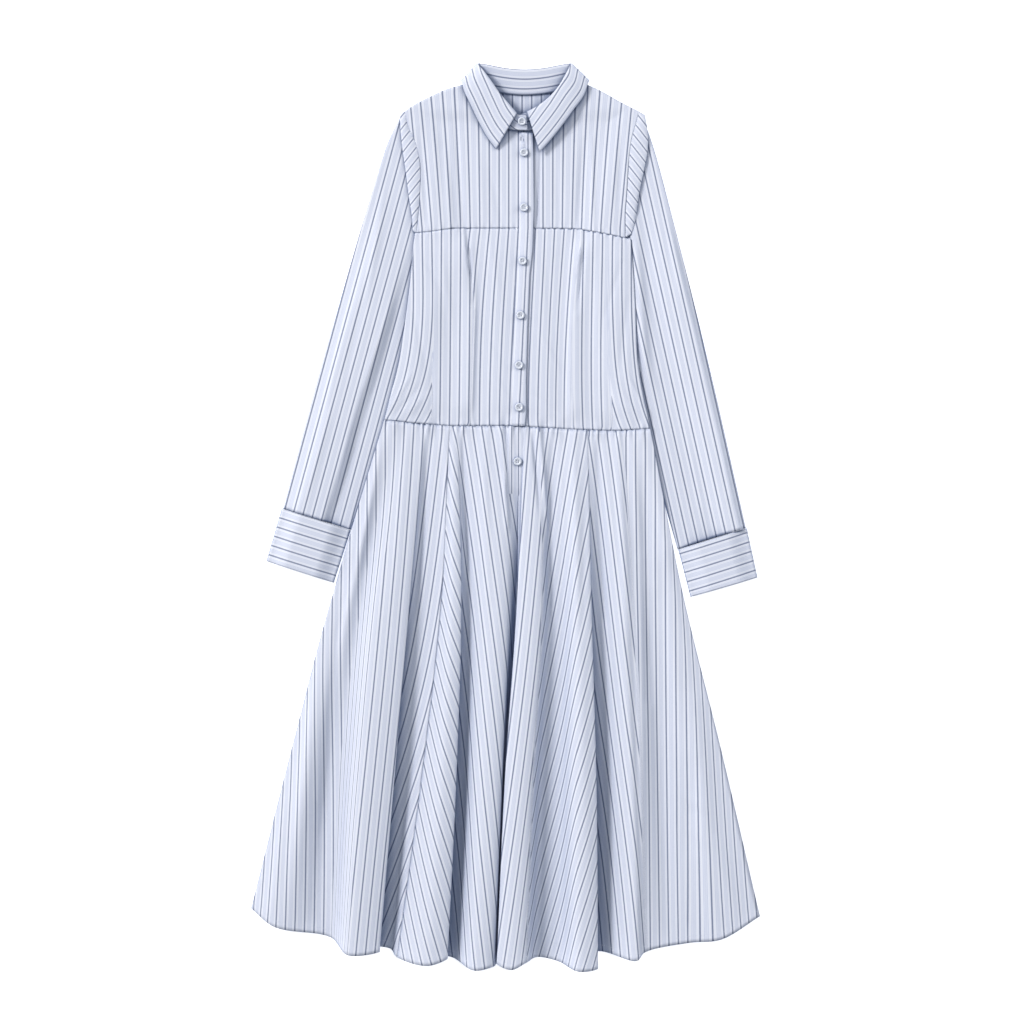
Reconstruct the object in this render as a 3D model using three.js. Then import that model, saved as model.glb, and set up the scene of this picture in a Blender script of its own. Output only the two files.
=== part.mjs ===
// A flared shirt dress with long sleeves, laid flat on its back.
// Units are millimetres and +Z is up from the floor. +Y runs from the hem to the collar.
// Left and right are those of a person who looks at the front from above.
import * as THREE from "three";

const CLOTH = 1.2; // wall of one layer of shirting
const COLLAR = 2.0; // wall of the collar and of a cuff
const GAP = 0.3; // air between two pieces at a seam
const LAYER = CLOTH + GAP; // step from one layer of cloth to the next
const TURN_SHARE = 0.8; // share of a short step that the inner side of a turn may use
const MITRE_MOST = 1.8; // the wall is at most this much wider across a corner
const AIR = 0.8; // extra air between the front and the back, away from the side seams
const SLEEVE_LIFT = 2 * LAYER; // the body lies on both layers of a sleeve
const COLLAR_LIFT = COLLAR + GAP; // the back lies on the turned-down collar leaf
const TURN_CROWD = 1.6; // how much closer the steps of a panel lie beside a turn

const clothLook = new THREE.MeshStandardMaterial({ color: 0xd6dcee, roughness: 0.85 });
const buttonLook = new THREE.MeshStandardMaterial({ color: 0xf2f2f4, roughness: 0.3 });

const mix = (a, b, t) => a + (b - a) * t;
const clamp = (value) => Math.min(1, Math.max(0, value));
const smooth = (value) => clamp(value) ** 2 * (3 - 2 * clamp(value));
const hump = (t) => Math.sin(Math.PI * clamp(t));

// A smooth curve through a few points, walked by its length from 0 to 1.
function curve(points) {
  const knots = points.map(([x, y, z = 0]) => new THREE.Vector3(x, y, z));
  const path = new THREE.CatmullRomCurve3(knots, false, "centripetal");
  return (t) => path.getPointAt(clamp(t));
}

// The second column of a table at a value of its first column.
function lookUp(table, value) {
  const next = table.findIndex(([key]) => key >= value);
  if (next === 0) return table[0][1];
  if (next < 0) return table[table.length - 1][1];
  const [key0, out0] = table[next - 1];
  const [key1, out1] = table[next];
  return mix(out0, out1, (value - key0) / (key1 - key0));
}

// A value at t from four values at even steps, with no corner at the steps.
function through(values, t) {
  const place = clamp(t) * (values.length - 1);
  const i = Math.min(Math.floor(place), values.length - 2);
  const f = place - i;
  const [a, b, c, d] = [values[i - 1] ?? 2 * values[i] - values[i + 1], values[i], values[i + 1],
    values[i + 2] ?? 2 * values[i + 1] - values[i]];
  return b + 0.5 * f * (c - a + f * (2 * a - 5 * b + 4 * c - d + f * (3 * (b - c) + d - a)));
}

function solid(name, points, faces, look) {
  const corners = points.flatMap((p) => [p.x, p.y, p.z]);
  let volume = 0;
  for (const [a, b, c] of faces) {
    volume += points[a].dot(new THREE.Vector3().crossVectors(points[b], points[c]));
  }
  const outward = volume > 0 ? faces : faces.map(([a, b, c]) => [a, c, b]);
  const geometry = new THREE.BufferGeometry();
  geometry.setAttribute("position", new THREE.Float32BufferAttribute(corners, 3));
  geometry.setIndex(outward.flat());
  const mesh = new THREE.Mesh(geometry, look);
  mesh.name = name;
  return mesh;
}

// The direction along a list of points at one of them, halfway between its two steps.
function heading(points, i) {
  const last = points.length - 1;
  const here = points[i];
  const ahead = points[Math.min(i + 1, last)].clone().sub(i < last ? here : points[last - 1]);
  const behind = (i > 0 ? here : points[1]).clone().sub(points[Math.max(i - 1, 0)]);
  return ahead.normalize().add(behind.normalize());
}

// The way out of a grid of points, at one of them.
function normalAt(rows, j, i) {
  return heading(rows[j], i).cross(heading(rows.map((row) => row[i]), j)).normalize();
}

const normalsOf = (rows) => rows.map((row, j) => row.map((_, i) => normalAt(rows, j, i)));

// How far the two faces lie from a row's line at one point: half the wall, and more at a
// corner of the line, but never so far on its inner side that the wall crosses itself.
function faceOffsets(row, normals, i, wall) {
  if (i === 0 || i === row.length - 1) return [wall / 2, wall / 2];
  const before = row[i].clone().sub(row[i - 1]);
  const after = row[i + 1].clone().sub(row[i]);
  const reach = Math.min(before.length(), after.length());
  const turn = after.normalize().sub(before.normalize());
  const sine = Math.min(turn.length() / 2, 0.999);
  const cosine = Math.sqrt(1 - sine ** 2);
  const outer = wall / 2 * Math.min(MITRE_MOST, 1 / cosine);
  const inner = Math.min(outer, TURN_SHARE * reach * cosine / Math.max(sine, 0.001));
  return turn.dot(normals[i]) > 0 ? [inner, outer] : [outer, inner];
}

// A wall of cloth: the rows of points are its middle, and it is closed round its rim.
function sheet(name, rows, wall = CLOTH, normals = normalsOf(rows)) {
  const columns = rows[0].length;
  const count = rows.length * columns;
  const upper = [];
  const lower = [];
  rows.forEach((row, j) => row.forEach((point, i) => {
    const [up, down] = faceOffsets(row, normals[j], i, wall);
    upper.push(point.clone().addScaledVector(normals[j][i], up));
    lower.push(point.clone().addScaledVector(normals[j][i], -down));
  }));
  const faces = [];
  const at = (j, i) => j * columns + i;
  for (let j = 0; j + 1 < rows.length; j += 1) {
    for (let i = 0; i + 1 < columns; i += 1) {
      const [a, b, c, d] = [at(j, i), at(j, i + 1), at(j + 1, i + 1), at(j + 1, i)];
      faces.push([a, b, c], [a, c, d]);
      faces.push([a + count, c + count, b + count], [a + count, d + count, c + count]);
    }
  }
  const rim = [];
  for (let i = 0; i < columns - 1; i += 1) rim.push(at(0, i));
  for (let j = 0; j < rows.length - 1; j += 1) rim.push(at(j, columns - 1));
  for (let i = columns - 1; i > 0; i -= 1) rim.push(at(rows.length - 1, i));
  for (let j = rows.length - 1; j > 0; j -= 1) rim.push(at(j, 0));
  rim.forEach((p, k) => {
    const q = rim[(k + 1) % rim.length];
    faces.push([q, p, p + count], [q, p + count, q + count]);
  });
  return solid(name, [...upper, ...lower], faces, clothLook);
}

// A tube of cloth from rings that each have an outer and an inner loop.
function tube(name, rings) {
  const size = rings[0].outer.length;
  const points = rings.flatMap((ring) => [...ring.outer, ...ring.inner]);
  const outer = (j, k) => j * 2 * size + (k % size);
  const inner = (j, k) => outer(j, k) + size;
  const faces = [];
  const quad = (a, b, c, d) => faces.push([a, b, c], [a, c, d]);
  for (let k = 0; k < size; k += 1) {
    for (let j = 0; j + 1 < rings.length; j += 1) {
      quad(outer(j, k), outer(j, k + 1), outer(j + 1, k + 1), outer(j + 1, k));
      quad(inner(j, k + 1), inner(j, k), inner(j + 1, k), inner(j + 1, k + 1));
    }
    const end = rings.length - 1;
    quad(outer(0, k + 1), outer(0, k), inner(0, k), inner(0, k + 1));
    quad(outer(end, k), outer(end, k + 1), inner(end, k + 1), inner(end, k));
  }
  return solid(name, points, faces, clothLook);
}

// Inner edges of the two sleeves where they lie under the body: Y, left X, right X.
const SLEEVE_EDGES = [
  [-40, -219, 240], [154, -156, 183], [285, -113, 148], [350, -88, 134],
  [380, -92, 136], [470, -118, 160], [566, -142, 188],
];
const leftSleeveEdge = SLEEVE_EDGES.map(([y, left]) => [y, left]);
const rightSleeveEdge = SLEEVE_EDGES.map(([y, , right]) => [y, right]);
const LIFT_SHELF = 6; // the lift stays full this far past the sleeve's edge
const LIFT_FADE = 40;

// Middle of the back's cloth, which rests on the floor, the sleeves and the collar leaf.
function backZ(x, y) {
  const left = smooth((lookUp(leftSleeveEdge, y) + LIFT_SHELF + LIFT_FADE - x) / LIFT_FADE);
  const right = smooth((x - lookUp(rightSleeveEdge, y) + LIFT_SHELF + LIFT_FADE) / LIFT_FADE);
  const past = smooth((y + 90) / 50); // the cuffs end beside the skirt, not under it
  const sleeves = SLEEVE_LIFT * past * Math.max(left, right);
  const collar = COLLAR_LIFT * smooth((y - 548) / 24);
  return CLOTH / 2 + Math.max(sleeves, collar);
}

// Side seams of the dress: Y, left X, right X.
const SIDES = [
  [-563, -357, 357], [-324, -299, 304], [-95, -238, 248], [120, -172, 203], [134, -170, 200],
  [168, -160, 192], [248, -144, 184], [301, -136, 182], [388, -128, 178], [396, -125, 168],
  [424, -122, 168], [451, -120, 170], [490, -120, 172], [514, -124, 174], [543, -136, 181],
  [566, -141, 187],
];
const leftSide = SIDES.map(([y, left]) => [y, left]);
const rightSide = SIDES.map(([y, , right]) => [y, right]);

// Middle of the front's cloth where it has no fold.
function frontZ(x, y) {
  const fromSide = Math.min(x - lookUp(leftSide, y), lookUp(rightSide, y) - x);
  return backZ(x, y) + LAYER + AIR * smooth((fromSide - 4) / 16);
}

const BUST_SEAM = [[-128, 395], [-99, 398], [-74, 402], [76, 402], [104, 401], [152, 392], [178, 386]];
const WAIST_SEAM = [[-170, 133], [-118, 128], [-78, 125], [15, 125], [96, 120], [153, 118], [203, 121]];
const bustY = (x) => lookUp(BUST_SEAM, x);
const waistY = (x) => lookUp(WAIST_SEAM, x);
const SEAM_HALF = 0.2; // half of the gap at the bust and waist seams
const FRONT_EDGE = 15; // X of the left front's edge, under the placket

// One point of a fold line: t runs from its top to its foot.
function linePoint(line, t, topY, footY, riseAt) {
  const x = through(line.x, t) - (line.tuck ?? 0) * smooth((t - 0.15) / 0.85);
  const y = mix(topY(line.x[0]), footY(line), t);
  return new THREE.Vector3(x, y, frontZ(x, y) + riseAt(line, t));
}

// Where the steps between two fold lines fall: closer together beside a turn of the cloth.
function stepPlaces(lines, steps) {
  const spans = lines.length - 1;
  const places = [0];
  for (let k = 0; k < spans; k += 1) {
    const [before, after] = [lines[k], lines[k + 1]].map(({ turn }) => (turn ? TURN_CROWD : 1));
    for (let i = 1; i <= steps; i += 1) {
      const share = i / steps;
      places.push((k + share ** before / (share ** before + (1 - share) ** after)) / spans);
    }
  }
  return places;
}

// Rows of points through a table of fold lines, with a few steps between two lines.
function foldRows(lines, rowCount, steps, topY, footY, riseAt) {
  const places = stepPlaces(lines, steps);
  const rows = [];
  for (let j = 0; j <= rowCount; j += 1) {
    const t = j / rowCount;
    const knots = lines.map((line) => linePoint(line, t, topY, footY, riseAt));
    const path = new THREE.CatmullRomCurve3(knots, false, "centripetal");
    rows.push(places.map((place) => path.getPoint(place)));
  }
  return rows;
}

// The rows from one column to another, drawn in by half a gap at each end.
function cutRows(rows, first, last) {
  return rows.map((row) => {
    const part = row.slice(first, last + 1).map((point) => point.clone());
    const end = part.length - 1;
    part[0].add(part[1].clone().sub(part[0]).setLength(GAP / 2));
    part[end].add(part[end - 1].clone().sub(part[end]).setLength(GAP / 2));
    return part;
  });
}

// Fold lines of the front skirt from left to right. x: at the waist, one third, two
// thirds and the hem. hem: Y of the hem there. rise: height over the back at the hem.
// tuck: how far the cloth runs back under the fold before it. turn: it doubles back here.
const SKIRT_LINES = [
  { line: "left side", x: [-170, -238, -299, -357], hem: -552, rise: 0 },
  { line: "outer crest", x: [-164, -219, -271, -323], hem: -577, rise: 8 },
  { line: "outer dip", x: [-152, -200, -232, -245], hem: -592, rise: 2.5 },
  { line: "fold 1 crest", x: [-131, -179, -203, -220], hem: -614, rise: 21 },
  { line: "fold 1 edge", x: [-113, -134, -155, -176], hem: -610, rise: 15, turn: true },
  { line: "fold 1 under", x: [-110, -132, -153, -174], hem: -605, rise: 6.8, tuck: 52, turn: true },
  { line: "valley 1", x: [-102, -114, -135, -162], hem: -608, rise: 0 },
  { line: "left gore seam", x: [-78, -90, -118, -152], hem: -619, rise: 7 },
  { line: "fold 2 crest", x: [-73, -75, -89, -108], hem: -629, rise: 20 },
  { line: "fold 2 edge", x: [-69, -62, -69, -81], hem: -619, rise: 15, turn: true },
  { line: "fold 2 under", x: [-66, -60, -67, -79], hem: -616, rise: 6.8, tuck: 38, turn: true },
  { line: "valley 2", x: [-59, -55, -62, -76], hem: -620, rise: 0 },
  { line: "fold 3 crest", x: [-26, -22, -31, -44], hem: -636, rise: 18 },
  { line: "fold 3 edge", x: [2, 2, -6, -17], hem: -631, rise: 14 },
  { line: "centre seam", x: [20, 14, -3, -12], hem: -629, rise: 0 },
  { line: "fold 4 under", x: [24, 22, 10, 2], hem: -626, rise: 6, tuck: -12, turn: true },
  { line: "fold 4 edge", x: [27, 16, -1, -12], hem: -627, rise: 14, turn: true },
  { line: "fold 4 crest", x: [37, 30, 15, 8], hem: -635, rise: 19 },
  { line: "fold 4 foot", x: [50, 53, 37, 27], hem: -626, rise: 7 },
  { line: "flat valley left", x: [61, 66, 55, 50], hem: -620, rise: 1.5 },
  { line: "flat valley right", x: [71, 78, 72, 71], hem: -626, rise: 3 },
  { line: "fold 5 crest", x: [93, 99, 99, 102], hem: -637, rise: 20 },
  { line: "fold 5 edge", x: [113, 120, 127, 129], hem: -633, rise: 16.5, turn: true },
  { line: "right gore seam", x: [115.5, 122, 128.5, 130.5], hem: -624, rise: 10.2, tuck: 18 },
  { line: "fold 5 under", x: [119, 124, 129.5, 131.5], hem: -616, rise: 5.0, tuck: 40, turn: true },
  { line: "valley 5", x: [127, 135, 137, 134], hem: -612, rise: 0 },
  { line: "fold 6 crest", x: [149, 163, 176, 183], hem: -623, rise: 15 },
  { line: "fold 6 flank", x: [163, 178, 188, 195], hem: -612, rise: 9 },
  { line: "outer flat left", x: [177, 214, 233, 258], hem: -600, rise: 1.5 },
  { line: "outer flat right", x: [191, 237, 272, 303], hem: -595, rise: 3 },
  { line: "right side", x: [203, 248, 304, 357], hem: -563, rise: 0 },
];
const SKIRT_ROWS = 13;
const SKIRT_STEPS = 3;
const skirtLine = (name) => SKIRT_LINES.findIndex(({ line }) => line === name);
const skirtRise = ({ rise }, t) => rise * (1 - (1 - t) ** 2.2);

function frontSkirt() {
  const rows = foldRows(SKIRT_LINES, SKIRT_ROWS, SKIRT_STEPS,
    (x) => waistY(x) - SEAM_HALF, ({ hem }) => hem, skirtRise);
  const cuts = [0, skirtLine("left gore seam"), skirtLine("centre seam"),
    skirtLine("right gore seam"), SKIRT_LINES.length - 1];
  const names = ["skirt_front_side_left", "skirt_front_centre_left",
    "skirt_front_centre_right", "skirt_front_side_right"];
  const normals = normalsOf(rows);
  return names.map((name, k) => {
    const [first, last] = [cuts[k] * SKIRT_STEPS, cuts[k + 1] * SKIRT_STEPS];
    const part = normals.map((row) => row.slice(first, last + 1));
    return sheet(name, cutRows(rows, first, last), CLOTH, part);
  });
}

// The back skirt lies flat on the floor, with its hem hidden by the front's.
const BACK_HEM = [
  [-357, -552], [-276, -586], [-152, -605], [-12, -612], [134, -608], [258, -592], [357, -563],
];
const BACK_COLUMNS = 26;

function backSkirt() {
  const rows = [];
  for (let j = 0; j <= SKIRT_ROWS; j += 1) {
    const t = j / SKIRT_ROWS;
    const [left, right] = [SKIRT_LINES[0], SKIRT_LINES[SKIRT_LINES.length - 1]];
    const [x0, x1] = [through(left.x, t), through(right.x, t)];
    rows.push(Array.from({ length: BACK_COLUMNS + 1 }, (_, i) => {
      const x = mix(x0, x1, i / BACK_COLUMNS);
      const top = waistY(mix(left.x[0], right.x[0], i / BACK_COLUMNS)) - SEAM_HALF;
      const hem = lookUp(BACK_HEM, mix(left.x[3], right.x[3], i / BACK_COLUMNS));
      const y = mix(top, hem, t);
      return new THREE.Vector3(x, y, backZ(x, y));
    }));
  }
  return sheet("skirt_back", rows);
}

// Fold lines of the two bodice fronts. x: at the bust seam, one third, two thirds and the
// waist. rise: at the bust seam and the waist.
const BODICE_LEFT = [
  { line: "side", x: [-127, -136, -149, -170], rise: [0, 0] },
  { line: "side flat", x: [-114, -120, -127, -140], rise: [0.8, 1.25] },
  { line: "side dart", x: [-101, -102, -103, -104], rise: [0.4, 2.6] },
  { line: "flat", x: [-80, -76, -76, -78], rise: [0.8, 0.8] },
  { line: "main dart", x: [-61, -46, -47, -51], rise: [3, 3] },
  { line: "beside the dart", x: [-43, -38, -40, -43], rise: [0.2, 0.2] },
  { line: "front flat", x: [-15, -13, -12, -14], rise: [1, 1.25] },
  { line: "front edge", x: [15, 15, 15, 15], rise: [0, 0] },
];
const BODICE_RIGHT = [
  { line: "front edge", x: [15.3, 15.3, 15.3, 15.3], rise: [0, 0] },
  { line: "front flat", x: [58, 55, 54, 56], rise: [1, 1.25] },
  { line: "beside the dart", x: [92, 84, 82, 84], rise: [0.2, 0.2] },
  { line: "main dart", x: [107, 95, 92, 93], rise: [3, 3] },
  { line: "flat", x: [126, 119, 118, 121], rise: [0.8, 0.8] },
  { line: "side dart", x: [146, 142, 143, 149], rise: [0.4, 2.6] },
  { line: "side flat", x: [162, 163, 168, 179], rise: [0.8, 1.25] },
  { line: "side", x: [176, 182, 186, 203], rise: [0, 0] },
];
const BODICE_ROWS = 9;
const BODICE_STEPS = 2;
const bodiceRise = ({ rise }, t) => mix(rise[0], rise[1], t) * smooth(8 * Math.min(t, 1 - t));

function frontBodice(name, lines) {
  const rows = foldRows(lines, BODICE_ROWS, BODICE_STEPS,
    (x) => bustY(x) - SEAM_HALF, ({ x }) => waistY(x[3]) + SEAM_HALF, bodiceRise);
  return sheet(name, rows);
}

// A four-sided panel between its edges: top and foot run across, the sides run down.
function patchRows(edges, columns, rowCount, height) {
  const { top, foot, left, right } = edges;
  const rows = [];
  for (let j = 0; j <= rowCount; j += 1) {
    const v = j / rowCount;
    rows.push(Array.from({ length: columns + 1 }, (_, i) => {
      const u = i / columns;
      const at = (axis) => mix(left(v)[axis], right(v)[axis], u) + mix(top(u)[axis], foot(u)[axis], v)
        - mix(mix(top(0)[axis], top(1)[axis], u), mix(foot(0)[axis], foot(1)[axis], u), v);
      return new THREE.Vector3(at("x"), at("y"), height(at("x"), at("y")));
    }));
  }
  return rows;
}

// Two curves one after the other; the first takes the given share of the way.
const joined = (first, second, share) => (t) => (
  t < share ? first(t / share) : second((t - share) / (1 - share)));

const ARMHOLE_LEFT = [[-141, 566], [-136, 543], [-129, 528], [-124, 514], [-120, 490], [-120, 451],
  [-122, 424], [-125, bustY(-125) + SEAM_HALF]];
const ARMHOLE_RIGHT = [[187, 566], [181, 543], [177, 528], [174, 508], [172, 483], [170, 449],
  [168, 423], [168, bustY(168) + SEAM_HALF]];
const SHOULDER_LEFT = [[-141, 566], [-130, 574], [-107, 586], [-83, 597], [-58, 604]];
const SHOULDER_RIGHT = [[187, 566], [177, 571], [158, 581], [135, 594], [113, 604]];
const NECK_LEFT = [[-58, 604], [-50, 586], [-36, 567], [-16, 552], [0, 544], [FRONT_EDGE, 541]];
const NECK_RIGHT = [[113, 604], [105, 586], [92, 567], [72, 552], [50, 544], [FRONT_EDGE + GAP, 541]];
const YOKE_COLUMNS = 9;
const YOKE_ROWS = 10;
const NECK_SHARE = 0.4; // the neck takes this share of the yoke's inner edge

function frontYoke(name, armhole, shoulder, neck) {
  const foot = armhole[armhole.length - 1];
  const front = neck[neck.length - 1];
  const bust = (u) => {
    const x = mix(foot[0], front[0], u);
    return new THREE.Vector3(x, bustY(x) + SEAM_HALF, 0);
  };
  const down = curve([front, [front[0], bustY(front[0]) + SEAM_HALF]]);
  const edges = {
    top: curve(shoulder),
    foot: bust,
    left: curve(armhole),
    right: joined(curve(neck), down, NECK_SHARE),
  };
  return sheet(name, patchRows(edges, YOKE_COLUMNS, YOKE_ROWS, frontZ));
}

const BACK_NECK = [[-58, 604], [-46, 600], [-20, 596], [27, 592], [74, 596], [100, 600], [113, 604]];

const BACK_ROWS = 24;
const BACK_BODICE_COLUMNS = 24;

function backBodice() {
  const side = (armhole, table) => {
    const waist = lookUp(table, 133);
    const down = table.filter(([y]) => y > 140 && y < 389).reverse().map(([y, x]) => [x, y]);
    const seam = curve([armhole[armhole.length - 1], ...down, [waist, waistY(waist) + SEAM_HALF]]);
    return joined(curve(armhole), seam, YOKE_ROWS / BACK_ROWS);
  };
  const [left, right] = [side(ARMHOLE_LEFT, leftSide), side(ARMHOLE_RIGHT, rightSide)];
  const neckOn = joined(curve(BACK_NECK), curve([...SHOULDER_RIGHT].reverse()), 0.6);
  const edges = {
    top: joined(curve(SHOULDER_LEFT), neckOn, 0.3),
    foot: (u) => {
      const x = mix(left(1).x, right(1).x, u);
      return new THREE.Vector3(x, waistY(x) + SEAM_HALF, 0);
    },
    left,
    right,
  };
  return sheet("back_bodice", patchRows(edges, BACK_BODICE_COLUMNS, BACK_ROWS, backZ));
}

// Right edge of the placket: Y, X.
const PLACKET_EDGE = [[21, 24], [62, 25], [119, 27], [143, 29], [189, 29], [263, 31], [337, 34],
  [371, 38], [431, 40], [536, 39]];
const PLACKET_WIDTH = 25;
const PLACKET_TOP = 536;
const PLACKET_FOOT = 21;

// The placket's rise: over the waist it clears the bodice, below it the skirt's first folds.
const PLACKET_CLEARANCE = 1;
const PLACKET_SLOPE = 0.055; // what it gains below the waist, for each millimetre down
const placketRise = (y) => (
  PLACKET_CLEARANCE + PLACKET_SLOPE * Math.max(0, waistY(FRONT_EDGE) - y));

function placketRows(top, foot, rowCount) {
  return Array.from({ length: rowCount + 1 }, (_, j) => {
    const y = mix(top, foot, j / rowCount);
    const right = lookUp(PLACKET_EDGE, y);
    return [0, 0.5, 1].map((u) => {
      const x = right - PLACKET_WIDTH * (1 - u);
      return new THREE.Vector3(x, y, frontZ(x, y) + LAYER + placketRise(y));
    });
  });
}

const BUTTON_RADIUS = 5.7;
const BUTTON_THICKNESS = 2.4;
const HOLE_RADIUS = 0.9;
const HOLE_REACH = 1.5; // each of the four holes sits this far from the middle, both ways
const BUTTON_PLACES = [[26, 508], [26, 431], [24, 356], [21, 280], [19, 210], [19, 151], [17, 75]];

const circle = (x, y, radius, count) => Array.from({ length: count }, (_, k) => (
  new THREE.Vector2(x + radius * Math.cos(2 * Math.PI * k / count),
    y + radius * Math.sin(2 * Math.PI * k / count))));

// A round button with four holes.
function button(name, x, y, z, tilt = 0) {
  const shape = new THREE.Shape(circle(0, 0, BUTTON_RADIUS, 24));
  for (const [i, j] of [[1, 1], [-1, 1], [-1, -1], [1, -1]]) {
    shape.holes.push(new THREE.Path(circle(i * HOLE_REACH, j * HOLE_REACH, HOLE_RADIUS, 6)));
  }
  const geometry = new THREE.ExtrudeGeometry(shape, { depth: BUTTON_THICKNESS, bevelEnabled: false });
  geometry.rotateX(tilt);
  geometry.translate(x, y, z);
  const mesh = new THREE.Mesh(geometry, buttonLook);
  mesh.name = name;
  return mesh;
}

// Outer and inner edges of each sleeve, from the shoulder to the cuff.
const SLEEVES = {
  left: {
    outer: [[-146, 561], [-164, 525], [-190, 444], [-225, 325], [-265, 185], [-312, 8.5]],
    inner: [[-92, 381], [-86, 368], [-88, 354], [-111, 291], [-156, 154], [-217, -21]],
    cuffTop: [[-313.6, 8.55], [-217.6, -21.3]],
    cuffFoot: [[-335, -65], [-241.5, -95]],
  },
  right: {
    outer: [[192, 561], [209, 511], [229, 437], [261, 311], [292, 182], [337, -18.5]],
    inner: [[136, 371], [132, 360], [134, 346], [148, 283], [183, 155], [242, -48.5]],
    cuffTop: [[338, -18.65], [243, -48.65]],
    cuffFoot: [[353, -88], [260, -115]],
  },
};
const SLEEVE_ROWS = 12;
const SLEEVE_PUFF = 3.4; // height of the hollow in the middle of a sleeve
const CUFF_PUFF = 7;
const SLEEVE_TUCK = 0.3; // share of a sleeve's width that stays flat, under the body
const PUFF_SLOPE = 0.3; // the puff takes this share of the width to reach its height
const RING_STEPS = 8; // steps across each of the two layers of a tube

// One ring of a tube that lies flat: from the inner edge to the outer edge and back.
function flatRing(inner, outer, wall, puff, tuck) {
  const across = new THREE.Vector3().subVectors(outer, inner);
  const width = across.length();
  across.normalize();
  const height = 2 * wall + GAP;
  const at = (distance, z) => inner.clone().addScaledVector(across, distance).setZ(z);
  const ring = { outer: [], inner: [] };
  const add = (distance, z, distanceIn, zIn) => {
    ring.outer.push(at(distance, z));
    ring.inner.push(at(distanceIn, zIn));
  };
  const corner = wall / 2;
  const shares = Array.from({ length: RING_STEPS + 1 }, (_, i) => i / RING_STEPS);
  add(0, height / 2, wall, height / 2);
  for (const share of shares) {
    add(mix(corner, width - corner, share), 0, mix(wall * 1.1, width - wall * 1.1, share), wall);
  }
  add(width, height / 2, width - wall, height / 2);
  for (const share of shares.reverse()) {
    const lift = puff * smooth((share - tuck) / PUFF_SLOPE) * smooth((1 - share) / PUFF_SLOPE);
    add(mix(corner, width - corner, share), height + lift,
      mix(wall * 1.1, width - wall * 1.1, share), height + lift - wall);
  }
  return ring;
}

function sleeve(name, { outer, inner }) {
  const [outerEdge, innerEdge] = [curve(outer), curve(inner)];
  const rings = Array.from({ length: SLEEVE_ROWS + 1 }, (_, j) => {
    const t = j / SLEEVE_ROWS;
    const puff = SLEEVE_PUFF * smooth((t - 0.12) / 0.3);
    return flatRing(innerEdge(t), outerEdge(t), CLOTH, puff, SLEEVE_TUCK);
  });
  return tube(name, rings);
}

function cuff(name, { cuffTop, cuffFoot }) {
  const [outerEdge, innerEdge] = [0, 1].map((k) => curve([cuffTop[k], cuffFoot[k]]));
  const rings = [0, 0.5, 1].map((t) => flatRing(innerEdge(t), outerEdge(t), COLLAR, CUFF_PUFF, 0));
  return tube(name, rings);
}

// The sleeve's cloth beside the armhole, folded under: seam edge, fold edge.
const HEAD_LEFT = {
  seam: ARMHOLE_LEFT,
  fold: [[-148, 561], [-147, 539], [-144, 510], [-140, 483], [-137, 458], [-134, 437],
    [-131, 416], [-130, 398]],
};
const HEAD_RIGHT = {
  seam: ARMHOLE_RIGHT,
  fold: [[195, 561], [199, 539], [199, 510], [194, 483], [188, 454], [184, 428], [181, 408],
    [176, 394]],
};
const HEAD_PUFF = 1.2; // the middle of the strip stands this much higher

function sleeveHead(name, { seam, fold }) {
  const [seamEdge, foldEdge] = [curve(seam), curve(fold)];
  const rows = Array.from({ length: YOKE_ROWS + 1 }, (_, j) => {
    const t = j / YOKE_ROWS;
    const from = seamEdge(t);
    const to = foldEdge(t);
    const across = to.clone().sub(from);
    const reach = across.length();
    across.normalize();
    const low = CLOTH / 2 + SLEEVE_LIFT;
    const high = low + LAYER;
    const at = (distance, z) => from.clone().addScaledVector(across, distance).setZ(z);
    return [at(GAP, high), at(reach / 2, high + HEAD_PUFF), at(reach - 1, high),
      at(reach, (low + high) / 2), at(reach - 1, low), at(reach / 2, low), at(GAP, low)];
  });
  return sheet(name, rows);
}

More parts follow.
